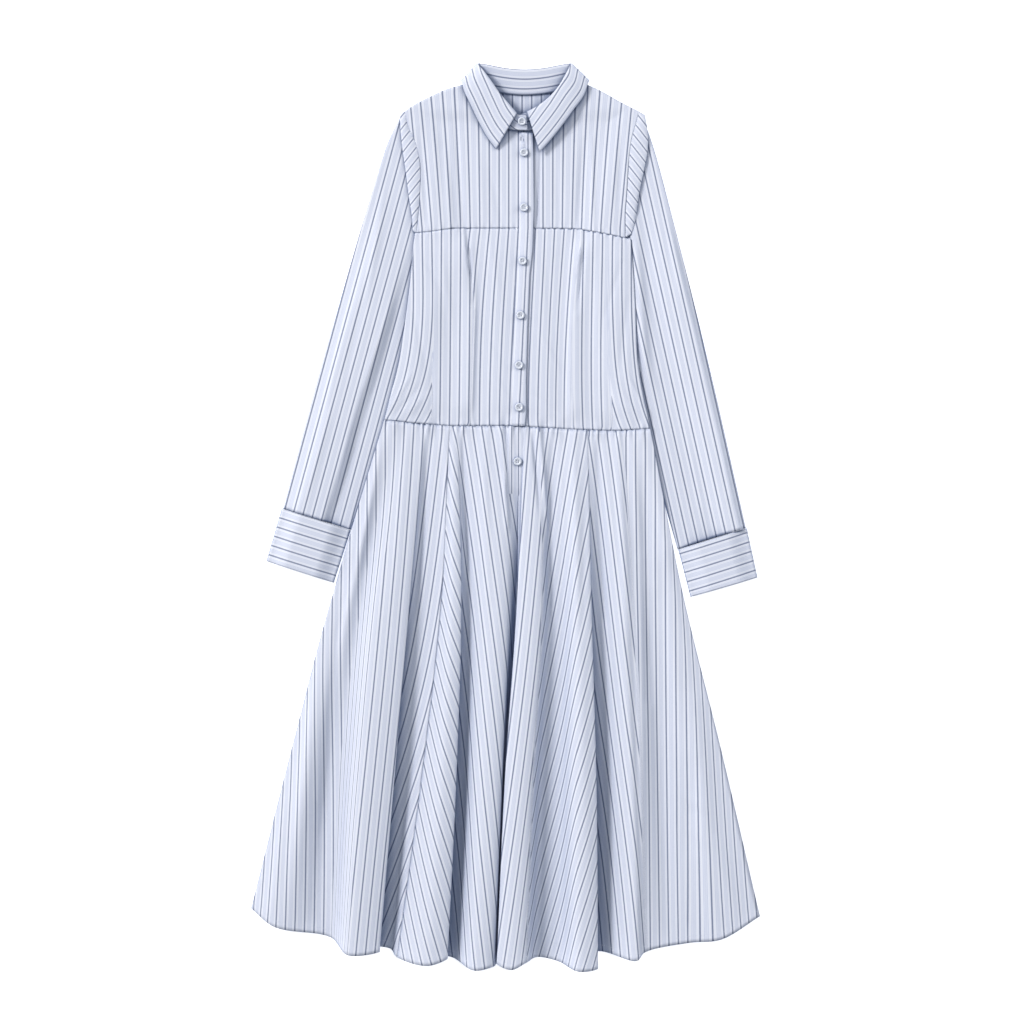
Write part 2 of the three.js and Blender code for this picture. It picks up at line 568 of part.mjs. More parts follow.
// Stations round the collar, from the left front end to the right one. top: where the
// stand turns into the leaf. foot: neck seam. edge: outer edge of the leaf. turn: the way
// out of the collar in degrees, 90 is up and 270 is down.
const COLLAR_STATIONS = [
  { turn: 90, top: [16, 562, 11], foot: [22, 539, 7.7], edge: [-13, 513, 4.9] },
  { turn: 90, top: [5, 575, 12], foot: [4, 541, 6], edge: [-25, 529, 4.9] },
  { turn: 90, top: [-8, 590, 12.5], foot: [-14, 549, 5.5], edge: [-38, 552, 6] },
  { turn: 95, top: [-21, 609, 12.5], foot: [-33, 562, 6.5], edge: [-49, 575, 8.5] },
  { turn: 110, top: [-31, 623, 11.5], foot: [-47, 580, 8], edge: [-58, 594, 9] },
  { turn: 150, top: [-36, 631, 9], foot: [-52, 596, 8.6], edge: [-61, 606, 8] },
  { turn: 180, top: [-37, 633, 7], foot: [-54, 600, 6.6], edge: [-62.5, 609, 4] },
  { turn: 225, top: [-34, 632, 4.6], foot: [-50, 600, 5], edge: [-60, 606, 1.6] },
  { turn: 270, top: [-26, 631, 3.75], foot: [-40, 598, 4.8], edge: [-48, 594, 1.25] },
  { turn: 270, top: [0, 626, 3.75], foot: [-10, 592, 4.8], edge: [-12, 584, 1.25] },
  { turn: 270, top: [27, 624, 3.75], foot: [27, 589, 4.8], edge: [27, 582, 1.25] },
  { turn: 270, top: [54, 626, 3.75], foot: [64, 592, 4.8], edge: [66, 584, 1.25] },
  { turn: 270, top: [80, 631, 3.75], foot: [95, 598, 4.8], edge: [103, 594, 1.25] },
  { turn: 315, top: [88, 632, 4.6], foot: [105, 600, 5], edge: [115, 606, 1.6] },
  { turn: 360, top: [90.5, 633, 7], foot: [109, 600, 6.6], edge: [117.5, 609, 4] },
  { turn: 390, top: [89.5, 631, 9], foot: [107, 596, 8.6], edge: [116, 606, 8] },
  { turn: 430, top: [85, 620, 11], foot: [101, 580, 8], edge: [110, 588, 9.4] },
  { turn: 445, top: [74, 600, 11], foot: [87, 562, 6.4], edge: [95, 567, 9] },
  { turn: 450, top: [60, 584, 10.5], foot: [68, 549, 5], edge: [79, 545, 6.4] },
  { turn: 450, top: [44, 572, 9], foot: [50, 541, 4.9], edge: [64, 526, 4.9] },
  { turn: 450, top: [30, 565, 7.2], foot: [34, 539, 4.9], edge: [48, 508, 4.9] },
];
const STAND_LEFT_END = { top: [29, 560, 11], foot: [31, 539, 8.2] };
const STAND_RIGHT_END = { top: [17, 561, 6.6], foot: [17, 539, 4.9] };
const COLLAR_STEPS = 2;
const LEAF_ROLL = 3.5; // how far the leaf bows away from the stand
const LEAF_GAP = 1.7 * GAP; // air between the stand's top and the leaf folded over it

// Points of one collar curve at every station and between them.
function stationCurve(points) {
  const knots = points.map((p) => new THREE.Vector3(...p));
  const path = new THREE.CatmullRomCurve3(knots, false, "centripetal");
  const count = (points.length - 1) * COLLAR_STEPS;
  return Array.from({ length: count + 1 }, (_, k) => path.getPoint(k / count));
}

function collarStand() {
  const stations = [STAND_LEFT_END, ...COLLAR_STATIONS, STAND_RIGHT_END];
  const tops = stationCurve(stations.map(({ top }) => top));
  const feet = stationCurve(stations.map(({ foot }) => foot));
  const rows = [0, 1 / 3, 2 / 3, 1].map((v) => tops.map((top, k) => top.clone().lerp(feet[k], v)));
  return sheet("collar_stand", rows, COLLAR);
}

function collarLeaf() {
  const way = (turn) => new THREE.Vector3(Math.cos(THREE.MathUtils.degToRad(turn)), 0,
    Math.sin(THREE.MathUtils.degToRad(turn)));
  const inner = stationCurve(COLLAR_STATIONS.map(({ top, turn }) => (
    new THREE.Vector3(...top).addScaledVector(way(turn), COLLAR + LEAF_GAP).toArray())));
  const outer = stationCurve(COLLAR_STATIONS.map(({ edge }) => edge));
  const bows = stationCurve(COLLAR_STATIONS.map(({ turn }) => (
    way(turn).multiplyScalar(Math.sin(THREE.MathUtils.degToRad(turn)) > 0.2 ? LEAF_ROLL : 0).toArray())));
  const rows = [0, 0.25, 0.5, 0.75, 1].map((v) => inner.map((point, k) => (
    point.clone().lerp(outer[k], v).addScaledVector(bows[k], hump(v)))));
  return sheet("collar_leaf", rows, COLLAR);
}

const dress = new THREE.Group();
dress.name = "shirt_dress";
dress.add(...frontSkirt(), backSkirt(), backBodice());
dress.add(frontBodice("bodice_front_left", BODICE_LEFT), frontBodice("bodice_front_right", BODICE_RIGHT));
dress.add(frontYoke("yoke_front_left", ARMHOLE_LEFT, SHOULDER_LEFT, NECK_LEFT));
dress.add(frontYoke("yoke_front_right", ARMHOLE_RIGHT, SHOULDER_RIGHT, NECK_RIGHT));
const onBodice = placketRows(PLACKET_TOP, waistY(FRONT_EDGE) + SEAM_HALF, 10);
const onSkirt = placketRows(waistY(FRONT_EDGE) - SEAM_HALF, PLACKET_FOOT, 5);
dress.add(sheet("placket_bodice", onBodice), sheet("placket_skirt", onSkirt));
for (const side of ["left", "right"]) {
  dress.add(sleeve(`sleeve_${side}`, SLEEVES[side]), cuff(`cuff_${side}`, SLEEVES[side]));
}
dress.add(sleeveHead("sleeve_head_left", HEAD_LEFT), sleeveHead("sleeve_head_right", HEAD_RIGHT));
dress.add(collarStand(), collarLeaf());
const onPlacket = (x, y) => frontZ(x, y) + LAYER + placketRise(y) + CLOTH / 2 + GAP;
BUTTON_PLACES.forEach(([x, y], k) => dress.add(button(`button_${k + 2}`, x, y, onPlacket(x, y))));
dress.add(button("button_1", 23, 551, 11.2, 0.17));

export default dress;
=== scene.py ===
"""A flared shirt dress of striped shirting, laid flat on its back and seen from above.

Lengths in the tables are millimetres, and +Y runs from the hem to the collar. Left and
right are those of a person who looks at the front from above.
"""

import math

import bmesh
import bpy
import numpy as np
from mathutils import Matrix, Vector


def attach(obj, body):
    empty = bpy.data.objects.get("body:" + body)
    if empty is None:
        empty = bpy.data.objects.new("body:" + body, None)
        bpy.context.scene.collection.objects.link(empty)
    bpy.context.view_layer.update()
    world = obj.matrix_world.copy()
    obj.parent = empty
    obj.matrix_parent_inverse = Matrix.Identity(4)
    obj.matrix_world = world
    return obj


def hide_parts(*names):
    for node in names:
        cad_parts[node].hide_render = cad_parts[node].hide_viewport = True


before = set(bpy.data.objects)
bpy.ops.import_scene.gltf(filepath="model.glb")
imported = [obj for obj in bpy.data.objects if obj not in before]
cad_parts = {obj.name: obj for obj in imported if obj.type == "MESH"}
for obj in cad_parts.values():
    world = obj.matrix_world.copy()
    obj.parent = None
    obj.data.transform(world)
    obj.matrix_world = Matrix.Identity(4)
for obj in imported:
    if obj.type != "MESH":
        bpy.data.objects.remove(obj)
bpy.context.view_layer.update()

MM = 0.001
CLOTH = 1.2  # thickness that one layer of cloth takes up in the fixed frame
COLLAR = 2.0
GAP = 0.3
LAYER = CLOTH + GAP
AIR = 0.8
SLEEVE_LIFT = 2 * LAYER
COLLAR_LIFT = COLLAR + GAP
SHELL = 0.5  # thickness that the cloth is drawn with
COLLAR_SHELL = 1.1
FRONT_EDGE = 22  # X where the two fronts meet, under the placket

REPEAT = 13.5  # from one dark stripe to the next

# The photo's scale: its pixel (PIXEL_X, PIXEL_Y) is the frame's origin.
PIXEL = 1.4
PIXEL_X = 505.5
PIXEL_Y = 515.0


def mix(a, b, t):
    return a + (b - a) * t


def smooth(value):
    value = np.clip(value, 0, 1)
    return value * value * (3 - 2 * value)


def look_up(table, value, column=1):
    """A column of a table at a value of its first column."""
    return np.interp(value, [row[0] for row in table], [row[column] for row in table])


def through(values, t):
    """A value at t from values at even steps, with no corner at the steps."""
    spans = len(values) - 1
    padded = [2 * values[0] - values[1], *values, 2 * values[-1] - values[-2]]
    padded = np.array(padded, float)
    place = np.clip(t, 0, 1) * spans
    i = np.minimum(np.floor(place), spans - 1).astype(int)
    f = place - i
    a, b, c, d = (padded[i + k] for k in range(4))
    return b + 0.5 * f * (c - a + f * (2 * a - 5 * b + 4 * c - d + f * (3 * (b - c) + d - a)))


def spline(knots, places):
    """Centripetal Catmull-Rom through knots (rows, count, 3), at places from 0 to 1."""
    last = knots.shape[1] - 1
    before = 2 * knots[:, :1] - knots[:, 1:2]
    after = 2 * knots[:, -1:] - knots[:, -2:-1]
    full = np.concatenate([before, knots, after], axis=1)
    step = np.sum(np.diff(full, axis=1) ** 2, axis=2) ** 0.25
    step = np.maximum(step, 1e-4)[..., None]
    out = np.empty((knots.shape[0], len(places), 3))
    for k, place in enumerate(places):
        i = min(int(place * last), last - 1)
        w = place * last - i
        p0, p1, p2, p3 = (full[:, i + m] for m in range(4))
        s0, s1, s2 = (step[:, i + m] for m in range(3))
        tan1 = ((p1 - p0) / s0 - (p2 - p0) / (s0 + s1) + (p2 - p1) / s1) * s1
        tan2 = ((p2 - p1) / s1 - (p3 - p1) / (s1 + s2) + (p3 - p2) / s2) * s1
        c2 = -3 * p1 + 3 * p2 - 2 * tan1 - tan2
        c3 = 2 * p1 - 2 * p2 + tan1 + tan2
        out[:, k] = p1 + w * (tan1 + w * (c2 + w * c3))
    return out


def walked(points):
    """Length along the last-but-one axis, from 0."""
    steps = np.linalg.norm(np.diff(points, axis=-2), axis=-1)
    return np.concatenate([np.zeros(steps.shape[:-1] + (1,)), np.cumsum(steps, axis=-1)], axis=-1)


def curve(points):
    """A smooth curve through a few points, walked by its length from 0 to 1."""
    knots = np.array([[*p, 0][:3] for p in points], float)[None]
    fine = spline(knots, np.linspace(0, 1, 200))[0]
    way = walked(fine) / walked(fine)[-1]
    return lambda t: np.stack([np.interp(t, way, fine[:, axis]) for axis in range(3)], axis=-1)


def joined(first, second, share):
    """Two curves one after the other; the first takes the given share of the way."""

    def both(t):
        t = np.asarray(t, float)[..., None]
        flat = t[..., 0]
        start = first(np.clip(flat / share, 0, 1))
        return np.where(t < share, start, second(np.clip((flat - share) / (1 - share), 0, 1)))

    return both


def normals_of(grid):
    """The way out of a grid of points, at each of them."""
    normal = np.cross(np.gradient(grid, axis=0), np.gradient(grid, axis=1))
    normal /= np.maximum(np.linalg.norm(normal, axis=2, keepdims=True), 1e-9)
    return normal


# Inner edges of the two sleeves where they lie under the body: Y, left X, right X.
SLEEVE_EDGES = [
    [-40, -219, 240], [154, -156, 183], [285, -113, 148], [350, -88, 134],
    [380, -92, 136], [470, -118, 160], [566, -142, 188],
]
LIFT_SHELF = 6
LIFT_FADE = 40

# Side seams of the dress: Y, left X, right X.
SIDES = [
    [-563, -357, 357], [-324, -299, 304], [-95, -238, 248], [120, -172, 203], [134, -170, 200],
    [168, -160, 192], [248, -144, 184], [301, -136, 182], [388, -128, 178], [396, -125, 168],
    [424, -122, 168], [451, -120, 170], [490, -120, 172], [514, -124, 174], [543, -136, 181],
    [566, -141, 187],
]


def back_z(x, y):
    """Middle of the back's cloth, which rests on the floor, the sleeves and the leaf."""
    reach = LIFT_SHELF + LIFT_FADE
    left = smooth((look_up(SLEEVE_EDGES, y) + reach - x) / LIFT_FADE)
    right = smooth((x - look_up(SLEEVE_EDGES, y, 2) + reach) / LIFT_FADE)
    sleeves = SLEEVE_LIFT * smooth((y + 90) / 50) * np.maximum(left, right)
    collar = COLLAR_LIFT * smooth((y - 548) / 24)
    return CLOTH / 2 + np.maximum(sleeves, collar)


def front_z(x, y):
    """Middle of the front's cloth where it has no fold."""
    from_side = np.minimum(x - look_up(SIDES, y), look_up(SIDES, y, 2) - x)
    return back_z(x, y) + LAYER + AIR * smooth((from_side - 4) / 16)


BUST_SEAM = [[-128, 395], [-99, 398], [-74, 402], [76, 402], [104, 401], [152, 392], [178, 386]]
WAIST_SEAM = [[-170, 133], [-118, 128], [-78, 125], [15, 125], [96, 120], [153, 118], [203, 121]]


def bust_y(x):
    return look_up(BUST_SEAM, x)


def waist_y(x):
    return look_up(WAIST_SEAM, x)


# Fold lines of the front skirt from left to right. x: at the waist, one third, two
# thirds and the hem. hem: Y of the hem. rise: height over the back at the hem. tuck: how
# far the cloth runs back under the fold before it. turn: the cloth doubles back there.
# lean: the way the stripes run there, in degrees to the right of straight down. lost: what
# the stripes of the lines on either side disagree by is lost there.
SKIRT_LINES = [
    {"line": "left side", "x": [-170, -238, -299, -357], "hem": -552, "rise": 0},
    {"line": "outer crest", "x": [-164, -219, -271, -323], "hem": -577, "rise": 8},
    {"line": "outer dip", "x": [-152, -200, -232, -245], "hem": -592, "rise": 2.5,
     "lean": [0, 1, 1, -1]},
    {"line": "fold 1 crest", "x": [-131, -179, -203, -220], "hem": -614, "rise": 21,
     "lean": [-3, -5, -6, -5.5]},
    {"line": "fold 1 edge", "x": [-113, -134, -155, -176], "hem": -610, "rise": 15, "turn": True},
    {"line": "fold 1 under", "x": [-110, -132, -153, -174], "hem": -605, "rise": 6.8,
     "tuck": 52, "turn": True},
    {"line": "valley 1", "x": [-102, -114, -135, -162], "hem": -608, "rise": 0,
     "lean": [-6, -9, -18, -21]},
    {"line": "left gore seam", "x": [-78, -90, -118, -152], "hem": -619, "rise": 7},
    {"line": "fold 2 crest", "x": [-73, -75, -89, -108], "hem": -629, "rise": 20,
     "lean": [14, 20, 18, 15]},
    {"line": "fold 2 edge", "x": [-69, -62, -69, -81], "hem": -619, "rise": 15, "turn": True},
    {"line": "fold 2 under", "x": [-66, -60, -67, -79], "hem": -616, "rise": 6.8,
     "tuck": 38, "turn": True},
    {"line": "valley 2", "x": [-59, -55, -62, -76], "hem": -620, "rise": 0},
    {"line": "fold 3 crest", "x": [-26, -22, -31, -44], "hem": -636, "rise": 18,
     "lean": [9, 8, 6.5, 7]},
    {"line": "fold 3 edge", "x": [2, 2, -6, -17], "hem": -631, "rise": 14},
    {"line": "centre seam", "x": [20, 14, -3, -12], "hem": -629, "rise": 0},
    {"line": "fold 4 under", "x": [24, 22, 10, 2], "hem": -626, "rise": 6,
     "tuck": -12, "turn": True},
    {"line": "fold 4 edge", "x": [27, 16, -1, -12], "hem": -627, "rise": 14, "turn": True},
    {"line": "fold 4 crest", "x": [37, 30, 15, 8], "hem": -635, "rise": 19,
     "lean": [-4, -6, -8, -9]},
    {"line": "fold 4 foot", "x": [47, 50, 37, 28], "hem": -626, "rise": 15.5, "lost": True},
    {"line": "flat valley left", "x": [58, 62, 51, 44], "hem": -620, "rise": 0.5,
     "lean": [-8, -12, -17, -19]},
    {"line": "flat valley right", "x": [72, 79, 75, 74], "hem": -626, "rise": 0.5},
    {"line": "fold 5 crest", "x": [93, 99, 99, 102], "hem": -637, "rise": 21,
     "lean": [-10, -14, -18, -18]},
    {"line": "fold 5 edge", "x": [113, 120, 127, 129], "hem": -633, "rise": 16.5, "turn": True},
    {"line": "right gore seam", "x": [115.5, 122, 128.5, 130.5], "hem": -624, "rise": 10.2,
     "tuck": 18},
    {"line": "fold 5 under", "x": [119, 124, 129.5, 131.5], "hem": -616, "rise": 5.0,
     "tuck": 40, "turn": True},
    {"line": "valley 5", "x": [127, 135, 137, 134], "hem": -612, "rise": 0},
    {"line": "fold 6 crest", "x": [149, 163, 176, 183], "hem": -623, "rise": 15,
     "lean": [8, 7, 9, 5]},
    {"line": "fold 6 flank", "x": [163, 178, 188, 195], "hem": -612, "rise": 9, "lost": True},
    {"line": "outer flat left", "x": [177, 214, 233, 258], "hem": -600, "rise": 1.5,
     "lean": [0, 0.5, 0.5, 0.8]},
    {"line": "outer flat right", "x": [191, 237, 272, 303], "hem": -595, "rise": 3,
     "lean": [0.5, 0.5, 1.5, 4]},
    {"line": "right side", "x": [203, 248, 304, 357], "hem": -563, "rise": 0},
]
SKIRT_ROWS = 130
SKIRT_STEPS = 9


def skirt_line(name):
    return [row["line"] for row in SKIRT_LINES].index(name)


def skirt_rise(line, t):
    return line["rise"] * (1 - (1 - t) ** 2.2)


def step_places(lines, steps):
    """Where the steps between fold lines fall: closer together beside a turn."""
    spans = len(lines) - 1
    places = [0.0]
    for k in range(spans):
        before = 1.6 if lines[k].get("turn") else 1
        after = 1.6 if lines[k + 1].get("turn") else 1
        for i in range(1, steps + 1):
            share = i / steps
            warped = share**before / (share**before + (1 - share) ** after)
            places.append((k + warped) / spans)
    return places


def fold_grid(lines, rows, steps, top_y, foot_y, rise_at):
    """A grid of points through a table of fold lines."""
    t = np.linspace(0, 1, rows + 1)
    knots = []
    for line in lines:
        x = through(line["x"], t) - line.get("tuck", 0) * smooth((t - 0.15) / 0.85)
        y = mix(top_y(line["x"][0]), foot_y(line), t)
        knots.append(np.stack([x, y, front_z(x, y) + rise_at(line, t)], axis=1))
    return spline(np.stack(knots, axis=1), step_places(lines, steps))


def stripes_at(grid, lines, steps, first, last):
    """How far across the stripes each point of a fold grid lies, in millimetres.

    A line with a lean sets the stripes there, and they keep their width away from it.
    What two such lines disagree by is lost at the turns between them.
    """
    arc = walked(grid)
    anchors = [k for k in range(first, last + 1) if "lean" in lines[k]]
    t = np.linspace(0, 1, grid.shape[0])
    values = {}
    for k in anchors:
        column = k * steps
        down = grid[0, column, 1] - grid[:, column, 1]
        slope = np.tan(np.radians(through(lines[k]["lean"], t)))
        drift = np.concatenate([[0], np.cumsum(np.diff(down) * (slope[1:] + slope[:-1]) / 2)])
        values[k] = grid[:, column, 0] - drift
    across = np.empty(grid.shape[:2])
    for column in range(first * steps, last * steps + 1):
        left = max([k for k in anchors if k * steps <= column], default=anchors[0])
        right = min([k for k in anchors if k * steps > column], default=anchors[-1])
        from_left = values[left] + arc[:, column] - arc[:, left * steps]
        from_right = values[right] + arc[:, column] - arc[:, right * steps]
        losses = [k for k in range(left, right) if {"turn", "lost"} & lines[k].keys()]
        ends = (losses[0], losses[-1]) if losses else (left, right)
        start, stop = (arc[:, k * steps] for k in ends)
        share = np.clip((arc[:, column] - start) / np.maximum(stop - start, 1e-6), 0, 1)
        across[:, column] = mix(from_left, from_right, share if left != right else 0)
    return across


# The main creases, as the photo shows them. From and to are pixels of the photo. width
# is from the crease's middle to where it has gone, in millimetres. depth is a ridge if it
# is positive and a trough if it is negative.
BACK_CREASES = [
    {"from": (402, 432), "to": (352, 880), "width": 16, "depth": 0.9},
    {"from": (446, 430), "to": (438, 700), "width": 11, "depth": 0.7},
    {"from": (478, 520), "to": (470, 920), "width": 18, "depth": 1.0},
    {"from": (531, 432), "to": (541, 760), "width": 13, "depth": 0.8},
    {"from": (574, 470), "to": (604, 900), "width": 15, "depth": 0.9},
    {"from": (622, 436), "to": (668, 720), "width": 12, "depth": 0.7},
    {"from": (432, 250), "to": (447, 405), "width": 10, "depth": 0.7},
    {"from": (588, 262), "to": (574, 410), "width": 11, "depth": 0.8},
    {"from": (497, 180), "to": (502, 330), "width": 13, "depth": 0.6},
]
SKIRT_CREASES = [
    {"from": (686, 794), "to": (706, 813), "width": 4.5, "depth": 1.0},
    {"from": (684, 801), "to": (702, 818), "width": 4.0, "depth": -0.8},
    {"from": (688, 824), "to": (708, 848), "width": 5.0, "depth": 1.0},
    {"from": (694, 760), "to": (690, 850), "width": 14, "depth": -1.4},
    {"from": (646, 470), "to": (650, 700), "width": 11, "depth": -2.6},
    {"from": (502, 424), "to": (507, 530), "width": 4, "depth": 3.6},
    {"from": (656, 600), "to": (668, 930), "width": 20, "depth": -4.2},
    {"from": (640, 560), "to": (642, 900), "width": 10, "depth": 2.2},
    {"from": (694, 700), "to": (714, 930), "width": 22, "depth": 2.6},
    {"from": (345, 540), "to": (316, 920), "width": 14, "depth": -4.6},
    {"from": (324, 600), "to": (290, 920), "width": 15, "depth": 3.0},
    {"from": (430, 436), "to": (414, 620), "width": 8, "depth": -2.8},
    {"from": (408, 436), "to": (388, 620), "width": 10, "depth": 1.8},
    {"from": (463, 434), "to": (467, 570), "width": 5, "depth": -2.6},
    {"from": (446, 440), "to": (445, 560), "width": 4.5, "depth": 1.6},
    {"from": (483, 432), "to": (490, 600), "width": 9, "depth": 1.8},
    {"from": (532, 426), "to": (540, 512), "width": 4, "depth": -2.6},
    {"from": (540, 430), "to": (548, 540), "width": 4, "depth": 2.0},
    {"from": (553, 434), "to": (549, 620), "width": 8, "depth": -3.0},
    {"from": (574, 434), "to": (578, 620), "width": 8, "depth": 1.8},
    {"from": (598, 440), "to": (604, 620), "width": 8, "depth": -2.6},
    {"from": (618, 438), "to": (630, 640), "width": 9, "depth": 1.6},
    {"from": (560, 470), "to": (566, 560), "width": 4, "depth": 1.2},
    {"from": (716, 840), "to": (736, 925), "width": 16, "depth": 1.8},
    {"from": (668, 600), "to": (684, 760), "width": 12, "depth": 1.2},
    {"from": (652, 470), "to": (662, 590), "width": 9, "depth": -1.0},
    {"from": (632, 436), "to": (640, 560), "width": 8, "depth": 1.4},
    {"from": (610, 440), "to": (622, 620), "width": 7, "depth": -1.2},
    {"from": (381, 440), "to": (352, 600), "width": 7, "depth": 1.3},
    {"from": (365, 500), "to": (337, 640), "width": 8, "depth": -1.2},
    {"from": (345, 610), "to": (322, 800), "width": 12, "depth": 1.6},
    {"from": (284, 800), "to": (272, 915), "width": 9, "depth": 1.4},
    {"from": (402, 470), "to": (383, 640), "width": 9, "depth": -1.0},
    {"from": (352, 760), "to": (338, 930), "width": 8, "depth": 1.2},
    {"from": (424, 700), "to": (398, 900), "width": 6, "depth": 1.4},
    {"from": (488, 470), "to": (492, 640), "width": 8, "depth": -1.1},
    {"from": (478, 620), "to": (470, 900), "width": 10, "depth": 1.2},
    {"from": (586, 470), "to": (582, 640), "width": 7, "depth": -1.0},
    {"from": (580, 640), "to": (588, 900), "width": 9, "depth": 1.1},
    {"from": (612, 700), "to": (626, 930), "width": 8, "depth": 1.3},
]
GATHER_DEPTH = 1.5
# Small gathers at the waist seam. across: pixel column. reach: how far they run down.
WAIST_GATHERS = [
    {"across": 392, "reach": 26, "width": 3.0, "depth": 0.9},
    {"across": 403, "reach": 34, "width": 3.4, "depth": -0.7},
    {"across": 414, "reach": 22, "width": 2.8, "depth": 0.8},
    {"across": 428, "reach": 30, "width": 3.2, "depth": 0.9},
    {"across": 436, "reach": 40, "width": 3.0, "depth": -0.8},
    {"across": 462, "reach": 28, "width": 3.0, "depth": 0.8},
    {"across": 476, "reach": 36, "width": 3.2, "depth": -0.8},
    {"across": 489, "reach": 24, "width": 2.8, "depth": 0.9},
    {"across": 499, "reach": 46, "width": 2.6, "depth": 1.3},
    {"across": 505, "reach": 52, "width": 2.4, "depth": -1.0},
    {"across": 511, "reach": 40, "width": 2.2, "depth": 1.2},
    {"across": 538, "reach": 44, "width": 2.6, "depth": 1.2},
    {"across": 545, "reach": 36, "width": 2.6, "depth": -0.9},
    {"across": 553, "reach": 26, "width": 2.8, "depth": 0.9},
    {"across": 566, "reach": 38, "width": 3.2, "depth": -0.8},
    {"across": 577, "reach": 24, "width": 2.8, "depth": 0.8},
    {"across": 597, "reach": 34, "width": 3.0, "depth": 0.9},
    {"across": 609, "reach": 26, "width": 3.0, "depth": -0.7},
    {"across": 620, "reach": 38, "width": 3.2, "depth": 0.9},
    {"across": 634, "reach": 24, "width": 2.8, "depth": -0.7},
    {"across": 643, "reach": 30, "width": 2.6, "depth": 0.8},
]


# The same gathers above the seam, where they run out sooner.
BODICE_GATHERS = [{**row, "reach": 0.45 * row["reach"]} for row in WAIST_GATHERS]


def frame_xy(pixel):
    """A photo pixel as X and Y of the frame, in millimetres."""
    return np.array([(pixel[0] - PIXEL_X) * PIXEL, (PIXEL_Y - pixel[1]) * PIXEL])


def crease_height(grid, creases):
    """The height of all creases at each point of a grid."""
    height = np.zeros(grid.shape[:2])
    for crease in creases:
        start, end = frame_xy(crease["from"]), frame_xy(crease["to"])
        way = end - start
        along = ((grid[..., :2] - start) @ way) / (way @ way)
        nearest = start + np.clip(along, 0, 1)[..., None] * way
        off = np.linalg.norm(grid[..., :2] - nearest, axis=2) / crease["width"]
        taper = np.sin(math.pi * np.clip(mix(0.08, 0.92, along), 0, 1)) ** 0.8
        height += crease["depth"] * taper * np.exp(-2.5 * off**2)
    return height


def creased_back_z(grid):
    """Height of the back's cloth with its own creases, which the front lies over."""
    return back_z(grid[..., 0], grid[..., 1]) + crease_height(grid, BACK_CREASES)


def gather_height(grid, gathers, seam_y, side):
    """The height of the gathers beside a seam, below it (-1) or above it (1)."""
    away = side * (grid[..., 1] - seam_y(grid[..., 0]))
    height = np.zeros(grid.shape[:2])
    for gather in gathers:
        x = (gather["across"] - PIXEL_X) * PIXEL
        spread = 1 + 0.6 * np.clip(away / gather["reach"], 0, 1)
        off = (grid[..., 0] - x) / (gather["width"] * spread)
        fade = 1 - smooth(away / gather["reach"])
        height += gather["depth"] * fade * np.exp(-(off**2))
    return height


def lifted(grid, height):
    return grid + normals_of(grid) * height[..., None]


def kept_above(grid, low, soft=0.8):
    """Keeps cloth from going through what it lies on."""
    over = grid[..., 2] - low
    kept = grid.copy()
    kept[..., 2] = low + (over + np.sqrt(over**2 + soft**2)) / 2
    return kept


def distance_from_edge(grid, edge):
    """How far each point lies from the top, foot, left or right edge, along the cloth."""
    if edge in ("left", "right"):
        way = walked(grid)
    else:
        way = walked(grid.transpose(1, 0, 2)).T
    if edge == "left":
        return way
    if edge == "right":
        return way[:, -1:] - way
    return way if edge == "top" else way[-1:] - way


def seam_roll(grid, edges, depth=0.2, width=1.3):
    """Turns the cloth down a little beside its seams."""
    height = np.zeros(grid.shape[:2])
    for edge in edges:
        height -= depth * np.exp(-((distance_from_edge(grid, edge) / width) ** 2))
    return height


def pucker_height(grid, edges, depth=0.5, reach=6.0):
    """Small uneven waves where a seam's thread draws the cloth in."""
    x = grid[..., 0]
    wave = np.sin(x / 1.45 + 1.3 * np.sin(x / 9.1) + 0.9 * np.sin(x / 23.0))
    height = np.zeros(grid.shape[:2])
    for edge in edges:
        height += depth * wave * np.exp(-((distance_from_edge(grid, edge) / reach) ** 2))
    return height


HEM_FOLD = 9.0  # the hem is turned up this far
HEM_STEP = 0.3


def hem_step(grid):
    """The hem is doubled, so it stands a little proud of the cloth above it."""
    return HEM_STEP * smooth((HEM_FOLD + 1 - distance_from_edge(grid, "foot")) / 1.5)


def mesh_of(name, grid, across, along, wrap=None):
    """A mesh from a grid of points in millimetres, with its stripes' place as its map.

    wrap closes the grid sideways; it holds the stripes' place after the last column.
    """
    rows, columns = grid.shape[:2]
    spans = columns if wrap is not None else columns - 1
    j, i = np.meshgrid(np.arange(rows - 1), np.arange(spans), indexing="ij")
    right = (i + 1) % columns
    corners = np.stack([j * columns + i, (j + 1) * columns + i,
                        (j + 1) * columns + right, j * columns + right], axis=-1)
    if wrap is not None:
        across = np.concatenate([across, wrap[:, None]], axis=1)
        along = np.concatenate([along, along[:, :1]], axis=1)
    maps = np.stack([across, along], axis=-1)
    map_corners = np.stack([maps[j, i], maps[j + 1, i], maps[j + 1, i + 1], maps[j, i + 1]], axis=2)
    mesh = bpy.data.meshes.new(name)
    mesh.from_pydata((grid.reshape(-1, 3) * MM).tolist(), [], corners.reshape(-1, 4).tolist())
    layer = mesh.uv_layers.new(name="weave")
    layer.data.foreach_set("uv", (map_corners.reshape(-1) * MM).astype(np.float32))
    mesh.polygons.foreach_set("use_smooth", [True] * len(mesh.polygons))
    return mesh


def put(name, mesh, look):
    """Adds an object of the dress, which is all one body."""
    piece = bpy.data.objects.new(name, mesh)
    bpy.context.scene.collection.objects.link(piece)
    mesh.materials.append(look)
    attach(piece, "root")
    return piece


